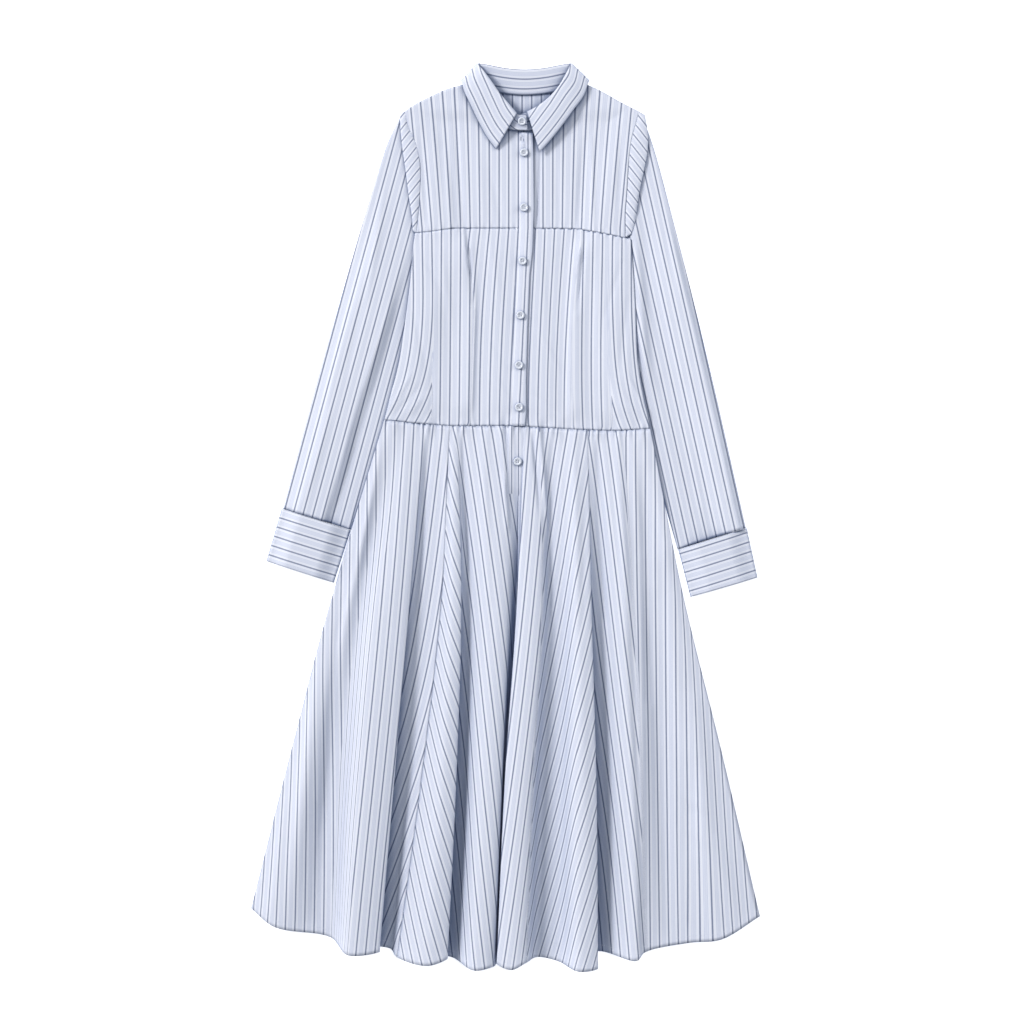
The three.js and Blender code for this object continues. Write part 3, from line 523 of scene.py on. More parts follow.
# The cut of each piece laid out flat: its widest and longest, in metres, and the share of
# that rectangle which it fills.
CUTS = {
    "skirt_front_side_left": (0.34, 0.76, 0.61),
    "skirt_front_centre_left": (0.25, 0.77, 0.61),
    "skirt_front_centre_right": (0.24, 0.77, 0.65),
    "skirt_front_side_right": (0.315, 0.75, 0.57),
    "skirt_back": (0.73, 0.74, 0.74),
    "bodice_front_left": (0.19, 0.28, 0.83),
    "bodice_front_right": (0.19, 0.28, 0.88),
    "yoke_front_left": (0.145, 0.215, 0.79),
    "yoke_front_right": (0.165, 0.215, 0.76),
    "back_bodice": (0.37, 0.49, 0.82),
    "placket_bodice": (0.025, 0.411, 1.0),
    "placket_skirt": (0.025, 0.104, 1.0),
    "sleeve_left": (0.38, 0.58, 0.52),
    "sleeve_right": (0.40, 0.60, 0.48),
    "sleeve_head_left": (0.043, 0.175, 0.66),
    "sleeve_head_right": (0.049, 0.18, 0.71),
    "cuff_left": (0.202, 0.077, 1.0),
    "cuff_right": (0.20, 0.071, 0.98),
    "collar_stand": (0.402, 0.045, 0.67),
    "collar_leaf": (0.435, 0.06, 0.62),
}


def cloth_piece(node, grid, across, along, shell=SHELL, wrap=None, sewn=(), out=1):
    """One cut piece of the dress, as a thin shell in place of its solid.

    sewn: its rows of stitches, each an edge and the distance from it, on the side out.
    """
    piece = put(f"{node}_cloth", mesh_of(node, grid, across, along, wrap), shirting)
    solidify = piece.modifiers.new("shell", "SOLIDIFY")
    solidify.thickness = shell * MM
    solidify.offset = 0
    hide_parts(node)
    rows = [stitches(node, grid, sewn, shell, out)] if sewn else []
    width, length, share = CUTS[node]
    return piece


STITCH_PITCH = 3.2
STITCH_SIZE = (1.05, 0.3, 0.26)  # half its length, half its width and its height


def line_beside(values, away, edge, inset):
    """The values of a grid along a line that runs beside one edge, at a distance from it."""
    if edge in ("top", "foot"):
        values, away = values.transpose(1, 0, 2), away.T
    if edge in ("right", "foot"):
        values, away = values[:, ::-1], away[:, ::-1]
    return np.array([[np.interp(inset, way, line[:, k]) for k in range(line.shape[1])]
                     for way, line in zip(away, values)])


def stitches(node, grid, rows, shell, out):
    values = np.concatenate([grid, out * normals_of(grid)], axis=2)
    long, wide, high = STITCH_SIZE
    points, faces = [], []
    for edge, inset in rows:
        line = line_beside(values, distance_from_edge(grid, edge), edge, inset)
        way = walked(line[:, :3])
        places = np.arange(STITCH_PITCH / 2, way[-1], STITCH_PITCH)
        at = np.stack([np.interp(places, way, line[:, k]) for k in range(6)], axis=1)
        middle, up = at[:, :3] + at[:, 3:] * shell / 2, at[:, 3:]
        ahead = np.gradient(middle, axis=0)
        ahead /= np.linalg.norm(ahead, axis=1, keepdims=True)
        side = np.cross(up, ahead)
        corners = np.stack([middle + ahead * long, middle + side * wide, middle - ahead * long,
                            middle - side * wide, middle + up * high, middle - up * 0.1], axis=1)
        for start in range(len(points), len(points) + 6 * len(places), 6):
            for k in range(4):
                n = (k + 1) % 4
                faces.append((start + k, start + n, start + 4))
                faces.append((start + n, start + k, start + 5))
        points.extend(corners.reshape(-1, 3).tolist())
    mesh = bpy.data.meshes.new(f"{node}_stitches")
    mesh.from_pydata((np.array(points) * MM).tolist(), [], faces)
    return put(f"{node}_stitches", mesh, thread)


def down_the_cloth(grid):
    return distance_from_edge(grid, "top")


def front_skirt():
    grid = fold_grid(SKIRT_LINES, SKIRT_ROWS, SKIRT_STEPS,
                     lambda x: waist_y(x), lambda line: line["hem"], skirt_rise)
    height = crease_height(grid, SKIRT_CREASES)
    height += GATHER_DEPTH * gather_height(grid, WAIST_GATHERS, waist_y, -1)
    height += pucker_height(grid, ["top"], 0.9, 9) + hem_step(grid)
    grid = lifted(grid, height)
    grid = kept_above(grid, creased_back_z(grid) + SHELL)
    cuts = [0, skirt_line("left gore seam"), skirt_line("centre seam"),
            skirt_line("right gore seam"), len(SKIRT_LINES) - 1]
    names = ["side_left", "centre_left", "centre_right", "side_right"]
    for k, name in enumerate(names):
        first, last = cuts[k], cuts[k + 1]
        across = stripes_at(grid, SKIRT_LINES, SKIRT_STEPS, first, last)
        columns = slice(first * SKIRT_STEPS, last * SKIRT_STEPS + 1)
        part = grid[:, columns].copy()
        part = lifted(part, seam_roll(part, ["left", "right"][k == 0:][: 1 if k in (0, 3) else 2]))
        cloth_piece(f"skirt_front_{name}", part, across[:, columns], down_the_cloth(part),
                    sewn=[("foot", HEM_FOLD)])
    return grid


BACK_HEM = [[-357, -552], [-276, -586], [-152, -605], [-12, -612], [134, -608], [258, -592],
            [357, -563]]


def back_skirt():
    t = np.linspace(0, 1, 100)[:, None]
    u = np.linspace(0, 1, 120)[None]
    left, right = SKIRT_LINES[0]["x"], SKIRT_LINES[-1]["x"]
    x = mix(through(left, t), through(right, t), u)
    top = waist_y(mix(left[0], right[0], u))
    hem = look_up(BACK_HEM, mix(left[3], right[3], u))
    y = mix(top, hem, t)
    grid = np.stack([x, y, 0 * x], axis=2)
    grid = lifted(grid, creased_back_z(grid))
    cloth_piece("skirt_back", grid, x - 6, down_the_cloth(grid))


# Fold lines of the two bodice fronts. x: at the bust seam, one third, two thirds and the
# waist. rise: at the bust seam and the waist. lean and lost: as in the skirt's table.
BODICE_LEFT = [
    {"line": "side", "x": [-127, -136, -149, -170], "rise": [0, 0]},
    {"line": "side flat", "x": [-114, -120, -127, -140], "rise": [0.8, 1.25],
     "lean": [1, 0, -10, -30]},
    {"line": "side dart", "x": [-101, -102, -103, -104], "rise": [0.4, 2.6], "lost": True},
    {"line": "flat", "x": [-80, -76, -76, -78], "rise": [0.8, 0.8], "lean": [0, -0.5, -0.5, -1]},
    {"line": "main dart", "x": [-61, -46, -47, -51], "rise": [3, 3], "lost": True},
    {"line": "beside the dart", "x": [-43, -38, -40, -43], "rise": [0.2, 0.2],
     "lean": [-7, -4, -1.5, 0]},
    {"line": "front flat", "x": [-15, -13, -12, -14], "rise": [1, 1.25]},
    {"line": "front edge", "x": [FRONT_EDGE] * 4, "rise": [0, 0],
     "lean": [-2.8, -2.8, -2.7, -1.5]},
]
BODICE_RIGHT = [
    {"line": "front edge", "x": [FRONT_EDGE + GAP] * 4, "rise": [0, 0]},
    {"line": "front flat", "x": [58, 55, 54, 56], "rise": [1, 1.25], "lean": [-2, -3, -2, 0]},
    {"line": "beside the dart", "x": [92, 84, 82, 84], "rise": [0.2, 0.2],
     "lean": [-5, -4, -2, 0]},
    {"line": "main dart", "x": [107, 95, 92, 93], "rise": [3, 3], "lost": True},
    {"line": "flat", "x": [126, 119, 118, 121], "rise": [0.8, 0.8], "lean": [-1, -1, 0, 3]},
    {"line": "side dart", "x": [146, 142, 143, 149], "rise": [0.4, 2.6], "lost": True},
    {"line": "side flat", "x": [162, 163, 168, 179], "rise": [0.8, 1.25],
     "lean": [-1, 1, 6, 22]},
    {"line": "side", "x": [176, 182, 186, 203], "rise": [0, 0]},
]
# What is added to the stripes' place, so that they fall where the photo has them.
LEFT_SHIFT = 2.2
RIGHT_BODICE_SHIFT = 5.35
RIGHT_YOKE_SHIFT = 8.15
FRONT_LEAN = 2.75  # degrees that the stripes beside the buttons lean to the left
BODICE_CREASES = [
    {"from": (467, 226), "to": (473, 306), "width": 5.0, "depth": -2.4},
    {"from": (463, 226), "to": (471, 300), "width": 2.0, "depth": 1.2},
    {"from": (474, 296), "to": (470, 422), "width": 1.8, "depth": -0.9},
    {"from": (587, 226), "to": (576, 312), "width": 4.5, "depth": -2.2},
    {"from": (582, 226), "to": (574, 330), "width": 1.8, "depth": 1.3},
    {"from": (573, 320), "to": (571, 422), "width": 1.8, "depth": -0.8},
    {"from": (433, 345), "to": (431, 424), "width": 2.0, "depth": -1.1},
    {"from": (607, 374), "to": (612, 427), "width": 2.0, "depth": -1.1},
    {"from": (440, 250), "to": (452, 330), "width": 8, "depth": 0.9},
    {"from": (420, 250), "to": (446, 300), "width": 6, "depth": -0.7},
    {"from": (488, 236), "to": (500, 300), "width": 7, "depth": 0.8},
    {"from": (484, 330), "to": (508, 366), "width": 6, "depth": -0.8},
    {"from": (490, 372), "to": (512, 404), "width": 6, "depth": 0.8},
    {"from": (545, 240), "to": (552, 330), "width": 7, "depth": -0.7},
    {"from": (538, 330), "to": (560, 372), "width": 6, "depth": 0.8},
    {"from": (532, 392), "to": (558, 414), "width": 5, "depth": -0.9},
    {"from": (600, 260), "to": (596, 350), "width": 8, "depth": 0.9},
    {"from": (622, 262), "to": (604, 320), "width": 6, "depth": -0.7},
    {"from": (386, 416), "to": (412, 372), "width": 3.5, "depth": 1.5},
    {"from": (392, 418), "to": (421, 384), "width": 3.0, "depth": -1.3},
    {"from": (402, 420), "to": (426, 394), "width": 3.0, "depth": 1.3},
    {"from": (650, 420), "to": (626, 372), "width": 4.0, "depth": 1.4},
    {"from": (642, 420), "to": (622, 384), "width": 3.5, "depth": -1.2},
    {"from": (632, 422), "to": (616, 396), "width": 3.0, "depth": 1.0},
    {"from": (410, 300), "to": (428, 372), "width": 7, "depth": -1.0},
    {"from": (628, 300), "to": (620, 372), "width": 7, "depth": -1.0},
]


def bodice_rise(line, t):
    return mix(line["rise"][0], line["rise"][1], t) * smooth(8 * np.minimum(t, 1 - t))


def front_bodice(name, lines, shift):
    steps = 9
    grid = fold_grid(lines, 90, steps, lambda x: bust_y(x),
                     lambda line: waist_y(line["x"][3]), bodice_rise)
    height = crease_height(grid, BODICE_CREASES)
    height += GATHER_DEPTH * gather_height(grid, BODICE_GATHERS, waist_y, 1)
    height += pucker_height(grid, ["top"]) + pucker_height(grid, ["foot"], 0.9, 4)
    height += seam_roll(grid, ["top"])
    grid = lifted(grid, height)
    grid = kept_above(grid, creased_back_z(grid) + SHELL)
    across = stripes_at(grid, lines, steps, 0, len(lines) - 1) + shift
    cloth_piece(name, grid, across, down_the_cloth(grid))


def patch_grid(edges, columns, rows, height):
    """A four-sided panel between its edges: top and foot run across, the sides run down."""
    u = np.linspace(0, 1, columns + 1)
    v = np.linspace(0, 1, rows + 1)
    top, foot = edges["top"](u)[None], edges["foot"](u)[None]
    left, right = edges["left"](v)[:, None], edges["right"](v)[:, None]
    uu, vv = u[None, :, None], v[:, None, None]
    corners = mix(mix(top[:, :1], top[:, -1:], uu), mix(foot[:, :1], foot[:, -1:], uu), vv)
    grid = mix(left, right, uu) + mix(top, foot, vv) - corners
    grid[..., 2] = height(grid[..., 0], grid[..., 1])
    return grid


ARMHOLE_LEFT = [[-141, 566], [-136, 543], [-129, 528], [-124, 514], [-120, 490], [-120, 451],
                [-122, 424], [-125, bust_y(-125)]]
ARMHOLE_RIGHT = [[187, 566], [181, 543], [177, 528], [174, 508], [172, 483], [170, 449],
                 [168, 423], [168, bust_y(168)]]
SHOULDER_LEFT = [[-141, 566], [-130, 574], [-107, 586], [-83, 597], [-58, 604]]
SHOULDER_RIGHT = [[187, 566], [177, 571], [158, 581], [135, 594], [113, 604]]
NECK_LEFT = [[-58, 604], [-50, 586], [-36, 567], [-16, 552], [0, 544], [FRONT_EDGE, 541]]
NECK_RIGHT = [[113, 604], [105, 586], [92, 567], [72, 552], [50, 544], [FRONT_EDGE + GAP, 541]]
NECK_SHARE = 0.4
YOKE_CREASES = [
    {"from": (430, 112), "to": (440, 190), "width": 9, "depth": 0.9},
    {"from": (420, 130), "to": (427, 222), "width": 6, "depth": -1.2},
    {"from": (445, 150), "to": (451, 230), "width": 8, "depth": 1.4},
    {"from": (455, 118), "to": (464, 230), "width": 5, "depth": -1.5},
    {"from": (490, 168), "to": (502, 222), "width": 8, "depth": -0.8},
    {"from": (478, 150), "to": (484, 226), "width": 8, "depth": 0.7},
    {"from": (541, 146), "to": (536, 232), "width": 3.6, "depth": 1.9},
    {"from": (556, 160), "to": (560, 222), "width": 9, "depth": 0.7},
    {"from": (584, 140), "to": (578, 230), "width": 8, "depth": 1.5},
    {"from": (592, 136), "to": (593, 230), "width": 5, "depth": -1.7},
    {"from": (622, 126), "to": (618, 205), "width": 7, "depth": 1.1},
]
YOKE_BEND = 18  # the stripes at the armhole lie this much further out at the shoulder


def front_yoke(name, armhole, shoulder, neck, side, shift):
    foot, front = np.array(armhole[-1]), np.array(neck[-1])

    def bust(u):
        x = mix(foot[0], front[0], u)
        return np.stack([x, bust_y(x), 0 * x], axis=-1)

    down = curve([neck[-1], [front[0], bust_y(front[0])]])
    edges = {"top": curve(shoulder), "foot": bust, "left": curve(armhole),
             "right": joined(curve(neck), down, NECK_SHARE)}
    grid = patch_grid(edges, 70, 80, front_z)
    height = crease_height(grid, YOKE_CREASES) + seam_roll(grid, ["foot", "left"])
    grid = lifted(grid, height + pucker_height(grid, ["foot"]))
    x, y = grid[..., 0], grid[..., 1]
    outward = smooth((abs(x - 22) - 30) / 130) * np.clip((y - 402) / 190, 0, 1)
    across = x + shift + side * YOKE_BEND * outward
    cloth_piece(name, grid, across, 600 - y)


BACK_NECK = [[-58, 604], [-46, 600], [-20, 596], [27, 592], [74, 596], [100, 600], [113, 604]]


def back_bodice():
    def side(armhole, column):
        waist = look_up(SIDES, 133, column)
        down = [[row[column], row[0]] for row in reversed(SIDES) if 140 < row[0] < 389]
        seam = curve([armhole[-1], *down, [waist, waist_y(waist)]])
        return joined(curve(armhole), seam, 10 / 24)

    left, right = side(ARMHOLE_LEFT, 1), side(ARMHOLE_RIGHT, 2)
    neck_on = joined(curve(BACK_NECK), curve(SHOULDER_RIGHT[::-1]), 0.6)

    def waist(u):
        x = mix(left(1.0)[0], right(1.0)[0], u)
        return np.stack([x, waist_y(x), 0 * x], axis=-1)

    edges = {"top": joined(curve(SHOULDER_LEFT), neck_on, 0.3), "foot": waist,
             "left": left, "right": right}
    grid = patch_grid(edges, 96, 96, back_z)
    grid = lifted(grid, crease_height(grid, BACK_CREASES))
    cloth_piece("back_bodice", grid, grid[..., 0] - 3, 600 - grid[..., 1])


# Right edge of the placket: Y, X.
PLACKET_EDGE = [[21, 24], [62, 25], [119, 27], [143, 29], [189, 29], [263, 31], [337, 34],
                [371, 38], [431, 40], [536, 39]]
PLACKET_WIDTH = 25
PLACKET_LOW = -0.5  # its left edge goes in under the cloth there, so that none shows
PLACKET_TOP = 536
PLACKET_FOOT = 21
PLACKET_CREASES = [
    {"from": (513, 128), "to": (532, 136), "width": 3.0, "depth": 2.0},
    {"from": (513, 134), "to": (531, 144), "width": 2.6, "depth": -2.0},
    {"from": (516, 141), "to": (531, 151), "width": 2.8, "depth": 1.5},
    {"from": (520, 132), "to": (528, 150), "width": 2.4, "depth": -1.6},
    {"from": (514, 168), "to": (532, 182), "width": 4, "depth": 0.5},
    {"from": (514, 226), "to": (532, 238), "width": 4, "depth": 0.4},
    {"from": (516, 284), "to": (530, 296), "width": 4, "depth": 0.5},
    {"from": (526, 409), "to": (532, 421), "width": 3, "depth": 1.0},
    {"from": (514, 436), "to": (524, 448), "width": 4, "depth": 0.5},
]


def placket_rise(y):
    return 1 + 0.055 * np.maximum(0, waist_y(FRONT_EDGE) - y)


def front_drift(y):
    """How far the stripes beside the buttons have run to the left at a height."""
    return math.tan(math.radians(FRONT_LEAN)) * np.maximum(0, bust_y(FRONT_EDGE) - y)


def skirt_z(skirt, x, y):
    """Height of the front skirt's grid at places near its middle, where it has no fold."""
    first, last = skirt_line("fold 3 crest"), skirt_line("fold 4 crest")
    rows = skirt[:SKIRT_ROWS // 3, first * SKIRT_STEPS:last * SKIRT_STEPS + 1]
    rows = rows[::-1]
    y_there, z_there = (np.array([np.interp(x.ravel(), row[:, 0], row[:, k]) for row in rows])
                        for k in (1, 2))
    z = [np.interp(at, y_there[:, k], z_there[:, k]) for k, at in enumerate(y.ravel())]
    return np.reshape(z, x.shape)


def placket_grid(top, foot, height):
    y = np.linspace(top, foot, 90)[:, None]
    u = np.linspace(0, 1, 21)[None]
    x = look_up(PLACKET_EDGE, y) - PLACKET_WIDTH * (1 - u)
    y = y + 0 * x
    return np.stack([x, y, height(x, y, u)], axis=2)


def bodice_placket():
    """The left front's doubled edge; on its left it goes over into the front's cloth."""
    def height(x, y, u):
        under = 1.1 * smooth((FRONT_EDGE - x) / 34) * (y < bust_y(x))
        over = mix(PLACKET_LOW + under, LAYER + placket_rise(y), smooth(u / 0.6))
        return front_z(x, y) + over

    grid = placket_grid(PLACKET_TOP, waist_y(FRONT_EDGE), height)
    edge = seam_roll(grid, ["right"], 0.5, 1.4)
    grid = lifted(grid, edge + crease_height(grid, PLACKET_CREASES))
    x, y = grid[..., 0], grid[..., 1]
    across = x + LEFT_SHIFT + front_drift(y)
    cloth_piece("placket_bodice", grid, across, 600 - y,
                sewn=[("right", 5)])


def skirt_placket(skirt):
    """The placket's end, which lies in the valley of the skirt. Its edges go in under."""
    def height(x, y, u):
        inner = smooth(u / 0.15) * smooth((1 - u) / 0.15) * smooth((y - PLACKET_FOOT) / 20)
        return skirt_z(skirt, x, y) + mix(-0.5, 0.7, inner)

    grid = placket_grid(waist_y(FRONT_EDGE), PLACKET_FOOT, height)
    x, y = grid[..., 0], grid[..., 1]
    across = 1.4 * (x + LEFT_SHIFT + front_drift(waist_y(FRONT_EDGE)))
    cloth_piece("placket_skirt", grid, across, 600 - y)
    return grid


# Outer and inner edges of each sleeve, from the shoulder to the cuff.
SLEEVES = {
    "left": {
        "cuff_shift": -6.05,
        "outer": [[-146, 561], [-164, 525], [-190, 444], [-225, 325], [-265, 185], [-312, 8.5]],
        "inner": [[-92, 381], [-86, 368], [-88, 354], [-111, 291], [-156, 154], [-217, -21]],
        "cuff_top": [[-313.6, 8.55], [-217.6, -21.3]],
        "cuff_foot": [[-335, -65], [-241.5, -95]],
    },
    "right": {
        "cuff_shift": 0.75,
        "outer": [[192, 561], [209, 511], [229, 437], [261, 311], [292, 182], [337, -18.5]],
        "inner": [[136, 371], [132, 360], [134, 346], [148, 283], [183, 155], [242, -48.5]],
        "cuff_top": [[338, -18.65], [243, -48.65]],
        "cuff_foot": [[353, -88], [260, -115]],
    },
}
SLEEVE_PUFF = 6.5
SLEEVE_SLOPE = {"left": 0.16, "right": 0.35}
SLEEVE_FALL = {"left": 0.25, "right": 0.08}
SLEEVE_TUCK = {"left": 0.28, "right": 0.48}
CUFF_PUFF = 7
SLEEVE_CREASES = [
    {"from": (384, 190), "to": (366, 300), "width": 8, "depth": 1.2},
    {"from": (372, 260), "to": (346, 372), "width": 8, "depth": -1.0},
    {"from": (352, 300), "to": (326, 402), "width": 7, "depth": 1.0},
    {"from": (392, 300), "to": (364, 388), "width": 6, "depth": 1.1},
    {"from": (366, 392), "to": (342, 480), "width": 7, "depth": -0.9},
    {"from": (330, 410), "to": (306, 500), "width": 7, "depth": 1.0},
    {"from": (348, 440), "to": (330, 518), "width": 6, "depth": 1.0},
    {"from": (660, 190), "to": (676, 300), "width": 8, "depth": -1.0},
    {"from": (655, 260), "to": (684, 380), "width": 7, "depth": 1.2},
    {"from": (684, 250), "to": (702, 350), "width": 7, "depth": 1.0},
    {"from": (690, 360), "to": (712, 450), "width": 7, "depth": -1.0},
    {"from": (712, 380), "to": (732, 500), "width": 7, "depth": 1.1},
    {"from": (684, 420), "to": (706, 520), "width": 6, "depth": 1.0},
    {"from": (634, 215), "to": (649, 415), "width": 13, "depth": 4.6},
    {"from": (662, 380), "to": (694, 500), "width": 9, "depth": -1.6},
]


def flat_tube(outer, inner, rings, wall, puff_at, tuck=0, slope=0.3, fall=0.3):
    """The middle of a tube that lies flat, and each point's share of the way outwards.

    Every ring runs outwards along the floor and back over the top. The top starts to rise
    at the share tuck and has risen after slope more; fall is the share that it falls in.
    """
    under, over = 28, 56
    t = np.linspace(0, 1, rings)
    start, end = inner(t)[:, None], outer(t)[:, None]
    share = np.concatenate([np.linspace(0, 1, under), np.linspace(1, 0, over)])
    bulge = np.concatenate([np.zeros(under), np.ones(over)])
    share = np.concatenate([[0], share[:under], [1], share[under:]])
    bulge = np.concatenate([[0.5], bulge[:under], [0.5], bulge[under:]])
    width = np.linalg.norm(end - start, axis=2, keepdims=True)
    inset = wall * (1 - 2 * abs(bulge - 0.5))[None, :, None] * -1 + wall
    across = (end - start) / width
    distance = mix(inset, width - inset, share[None, :, None])
    grid = start + across * distance
    lift = puff_at(t)[:, None] * smooth((share - tuck) / slope) * smooth((1 - share) / fall)
    low, high = wall / 2, 1.5 * wall + GAP
    grid[..., 2] = mix(low, high, bulge) + np.where(bulge == 1, lift, 0)
    return grid, share, bulge


def tube_stripes(grid, share, axis_start, axis_end):
    """Stripes along a straight axis on top of a flat tube, and on round its outer edge."""
    way = np.array(axis_end) - np.array(axis_start)
    way = way / np.linalg.norm(way)
    off = grid[..., :2] - np.array(axis_start)
    signed = off[..., 0] * way[1] - off[..., 1] * way[0]
    top = np.argmax(share)
    edge = signed[:, top:top + 1]
    below = np.arange(grid.shape[1]) < top
    return np.where(below, 2 * edge - signed, signed), signed[:, 0]


def sleeve(side):
    edges = SLEEVES[side]

    def puff(t):
        return SLEEVE_PUFF * smooth((t - 0.12) / 0.3)

    grid, share, bulge = flat_tube(curve(edges["outer"]), curve(edges["inner"]), 110, CLOTH, puff,
                                   SLEEVE_TUCK[side], SLEEVE_SLOPE[side], SLEEVE_FALL[side])
    free = bulge[None] * smooth((share[None] - 0.16) / 0.1) * smooth((1 - share[None]) / 0.1)
    grid[..., 2] += free * crease_height(grid, SLEEVE_CREASES)
    floor_of_top = np.where(bulge == 1, CLOTH / 2 + 2 * SHELL, 0)
    grid[..., 2] = np.maximum(grid[..., 2], floor_of_top)
    shoulder = np.mean([edges["outer"][0], edges["inner"][0]], axis=0) + [0, 60]
    wrist = np.mean([edges["outer"][-1], edges["inner"][-1]], axis=0)
    across, wrap = tube_stripes(grid, share, shoulder, wrist)
    along = 600 - grid[..., 1]
    cloth_piece(f"sleeve_{side}", grid, across, along, wrap=wrap)


def cuff(side):
    edges = SLEEVES[side]
    top, foot = edges["cuff_top"], edges["cuff_foot"]
    outer, inner = (curve([top[k], foot[k]]) for k in (0, 1))
    grid, share, bulge = flat_tube(outer, inner, 28, COLLAR, lambda t: CUFF_PUFF + 0 * t)
    across = walked(grid.transpose(1, 0, 2)).T + edges["cuff_shift"]
    cloth_piece(f"cuff_{side}", grid, across, walked(grid), COLLAR_SHELL,
                across[:, 0], [("top", 1.5), ("foot", 5)], 1 if side == "left" else -1)


# The sleeve's cloth beside the armhole, folded under: seam edge, fold edge.
HEAD_FOLDS = {
    "left": [[-148, 561], [-147, 539], [-144, 510], [-140, 483], [-137, 458], [-134, 437],
             [-131, 416], [-130, 398]],
    "right": [[195, 561], [199, 539], [199, 510], [194, 483], [188, 454], [184, 428],
              [181, 408], [176, 394]],
}
HEAD_LEAN = 38  # degrees between the stripes of the sleeve's head and straight down
HEAD_CROWD = 1.25  # its gathered stripes lie this much closer


def sleeve_head(side, armhole):
    t = np.linspace(0, 1, 70)
    start, end = curve(armhole)(t), curve(HEAD_FOLDS[side])(t)
    reach = np.linalg.norm(end - start, axis=1)
    way = (end - start) / reach[:, None]
    low = CLOTH / 2 + SLEEVE_LIFT
    high = low + LAYER
    pad = smooth(t / 0.08) * smooth((1 - t) / 0.12)
    profile = [(GAP + 0 * reach, high), (reach * 0.25, high + 0.9 * pad),
               (reach / 2, high + 1.2 * pad), (reach * 0.8, high + 0.8 * pad),
               (reach - 1, high), (reach, (low + high) / 2),
               (reach - 1, low), (reach / 2, low), (GAP + 0 * reach, low)]
    knots = np.stack([np.column_stack([start[:, :2] + way[:, :2] * d[:, None], z + 0 * d])
                      for d, z in profile], axis=1)
    grid = spline(knots, np.linspace(0, 1, 49))
    if side == "left":
        grid = grid[:, ::-1]
    lean = math.radians(HEAD_LEAN) * (-1 if side == "left" else 1)
    across = HEAD_CROWD * (grid[..., 0] * math.cos(lean) + grid[..., 1] * math.sin(lean))
    cloth_piece(f"sleeve_head_{side}", grid, across, 600 - grid[..., 1])


# Stations round the collar, from the left front end to the right one. turn: the way out
# of the collar in degrees, 90 is up and 270 is down. top: where the stand turns into the
# leaf. foot: neck seam. edge: outer edge of the leaf.
COLLAR_STATIONS = [
    [90, (16, 562, 11), (22, 539, 7.7), (-13, 513, 4.9)],
    [90, (5, 575, 12), (4, 541, 6), (-25, 529, 4.9)],
    [90, (-8, 590, 12.5), (-14, 549, 5.5), (-38, 552, 6)],
    [95, (-21, 609, 12.5), (-33, 562, 6.5), (-49, 575, 8.5)],
    [110, (-31, 623, 11.5), (-47, 580, 8), (-58, 594, 9)],
    [150, (-36, 631, 9), (-52, 596, 8.6), (-61, 606, 8)],
    [180, (-37, 633, 7), (-54, 600, 6.6), (-62.5, 609, 4)],
    [225, (-34, 632, 8.6), (-50, 600, 5), (-60, 606, 1.6)],
    [270, (-26, 631, 9), (-40, 598, 4.8), (-48, 594, 1.25)],
    [270, (0, 626, 9), (-10, 592, 4.8), (-12, 584, 1.25)],
    [270, (27, 624, 9), (27, 589, 4.8), (27, 582, 1.25)],
    [270, (54, 626, 9), (64, 592, 4.8), (66, 584, 1.25)],
    [270, (80, 631, 9), (95, 598, 4.8), (103, 594, 1.25)],
    [315, (88, 632, 8.6), (105, 600, 5), (115, 606, 1.6)],
    [360, (90.5, 633, 7), (109, 600, 6.6), (117.5, 609, 4)],
    [390, (89.5, 631, 9), (107, 596, 8.6), (116, 606, 8)],
    [430, (85, 620, 11), (101, 580, 8), (110, 588, 9.4)],
    [445, (74, 600, 11), (87, 562, 6.4), (95, 567, 11)],
    [450, (60, 584, 10.5), (68, 549, 5), (79, 545, 10.5)],
    [450, (44, 572, 9), (50, 541, 4.9), (64, 526, 9.6)],
    [450, (30, 565, 7.2), (34, 539, 4.9), (48, 508, 8.4)],
]
STAND_ENDS = [[(29, 560, 11), (31, 539, 8.2)], [(17, 561, 6.6), (17, 539, 4.9)]]
LEAF_ROLL = 1.0
LEAF_MARGIN = 9  # from its outer edge to its first dark stripe
LEAF_GAP = 1.7 * GAP


def station_curve(points, steps=8):
    knots = np.array(points, float)[None]
    return spline(knots, np.linspace(0, 1, (knots.shape[1] - 1) * steps + 1))[0]


def collar_stand():
    tops = [STAND_ENDS[0][0], *[row[1] for row in COLLAR_STATIONS], STAND_ENDS[1][0]]
    feet = [STAND_ENDS[0][1], *[row[2] for row in COLLAR_STATIONS], STAND_ENDS[1][1]]
    v = np.linspace(0, 1, 13)[:, None, None]
    grid = mix(station_curve(tops)[None], station_curve(feet)[None], v)
    across = distance_from_edge(grid, "top") + REPEAT / 2
    cloth_piece("collar_stand", grid, across, walked(grid), COLLAR_SHELL)


def collar_leaf():
    def way(turn):
        return np.array([math.cos(math.radians(turn)), 0, math.sin(math.radians(turn))])

    inner = station_curve([np.array(top) + way(turn) * (COLLAR + LEAF_GAP)
                           for turn, top, _, _ in COLLAR_STATIONS])
    outer = station_curve([edge for *_, edge in COLLAR_STATIONS])
    rolls = [way(turn) * (LEAF_ROLL if way(turn)[2] > 0.2 else 0) for turn, *_ in COLLAR_STATIONS]
    roll = station_curve([[x + 1e-4 * k, y, z] for k, (x, y, z) in enumerate(rolls)])
    v = np.linspace(0, 1, 17)[:, None, None]
    grid = mix(inner[None], outer[None], v) + roll[None] * np.sin(math.pi * v)
    across = distance_from_edge(grid, "foot") - LEAF_MARGIN + REPEAT / 2
    cloth_piece("collar_leaf", grid, across, walked(grid), COLLAR_SHELL,
                sewn=[("foot", 5), ("left", 5), ("right", 5)], out=-1)


BUTTON_RADIUS = 5.7
BUTTON_THICKNESS = 2.4
HOLE_REACH = 1.15
HOLE_RADIUS = 0.75
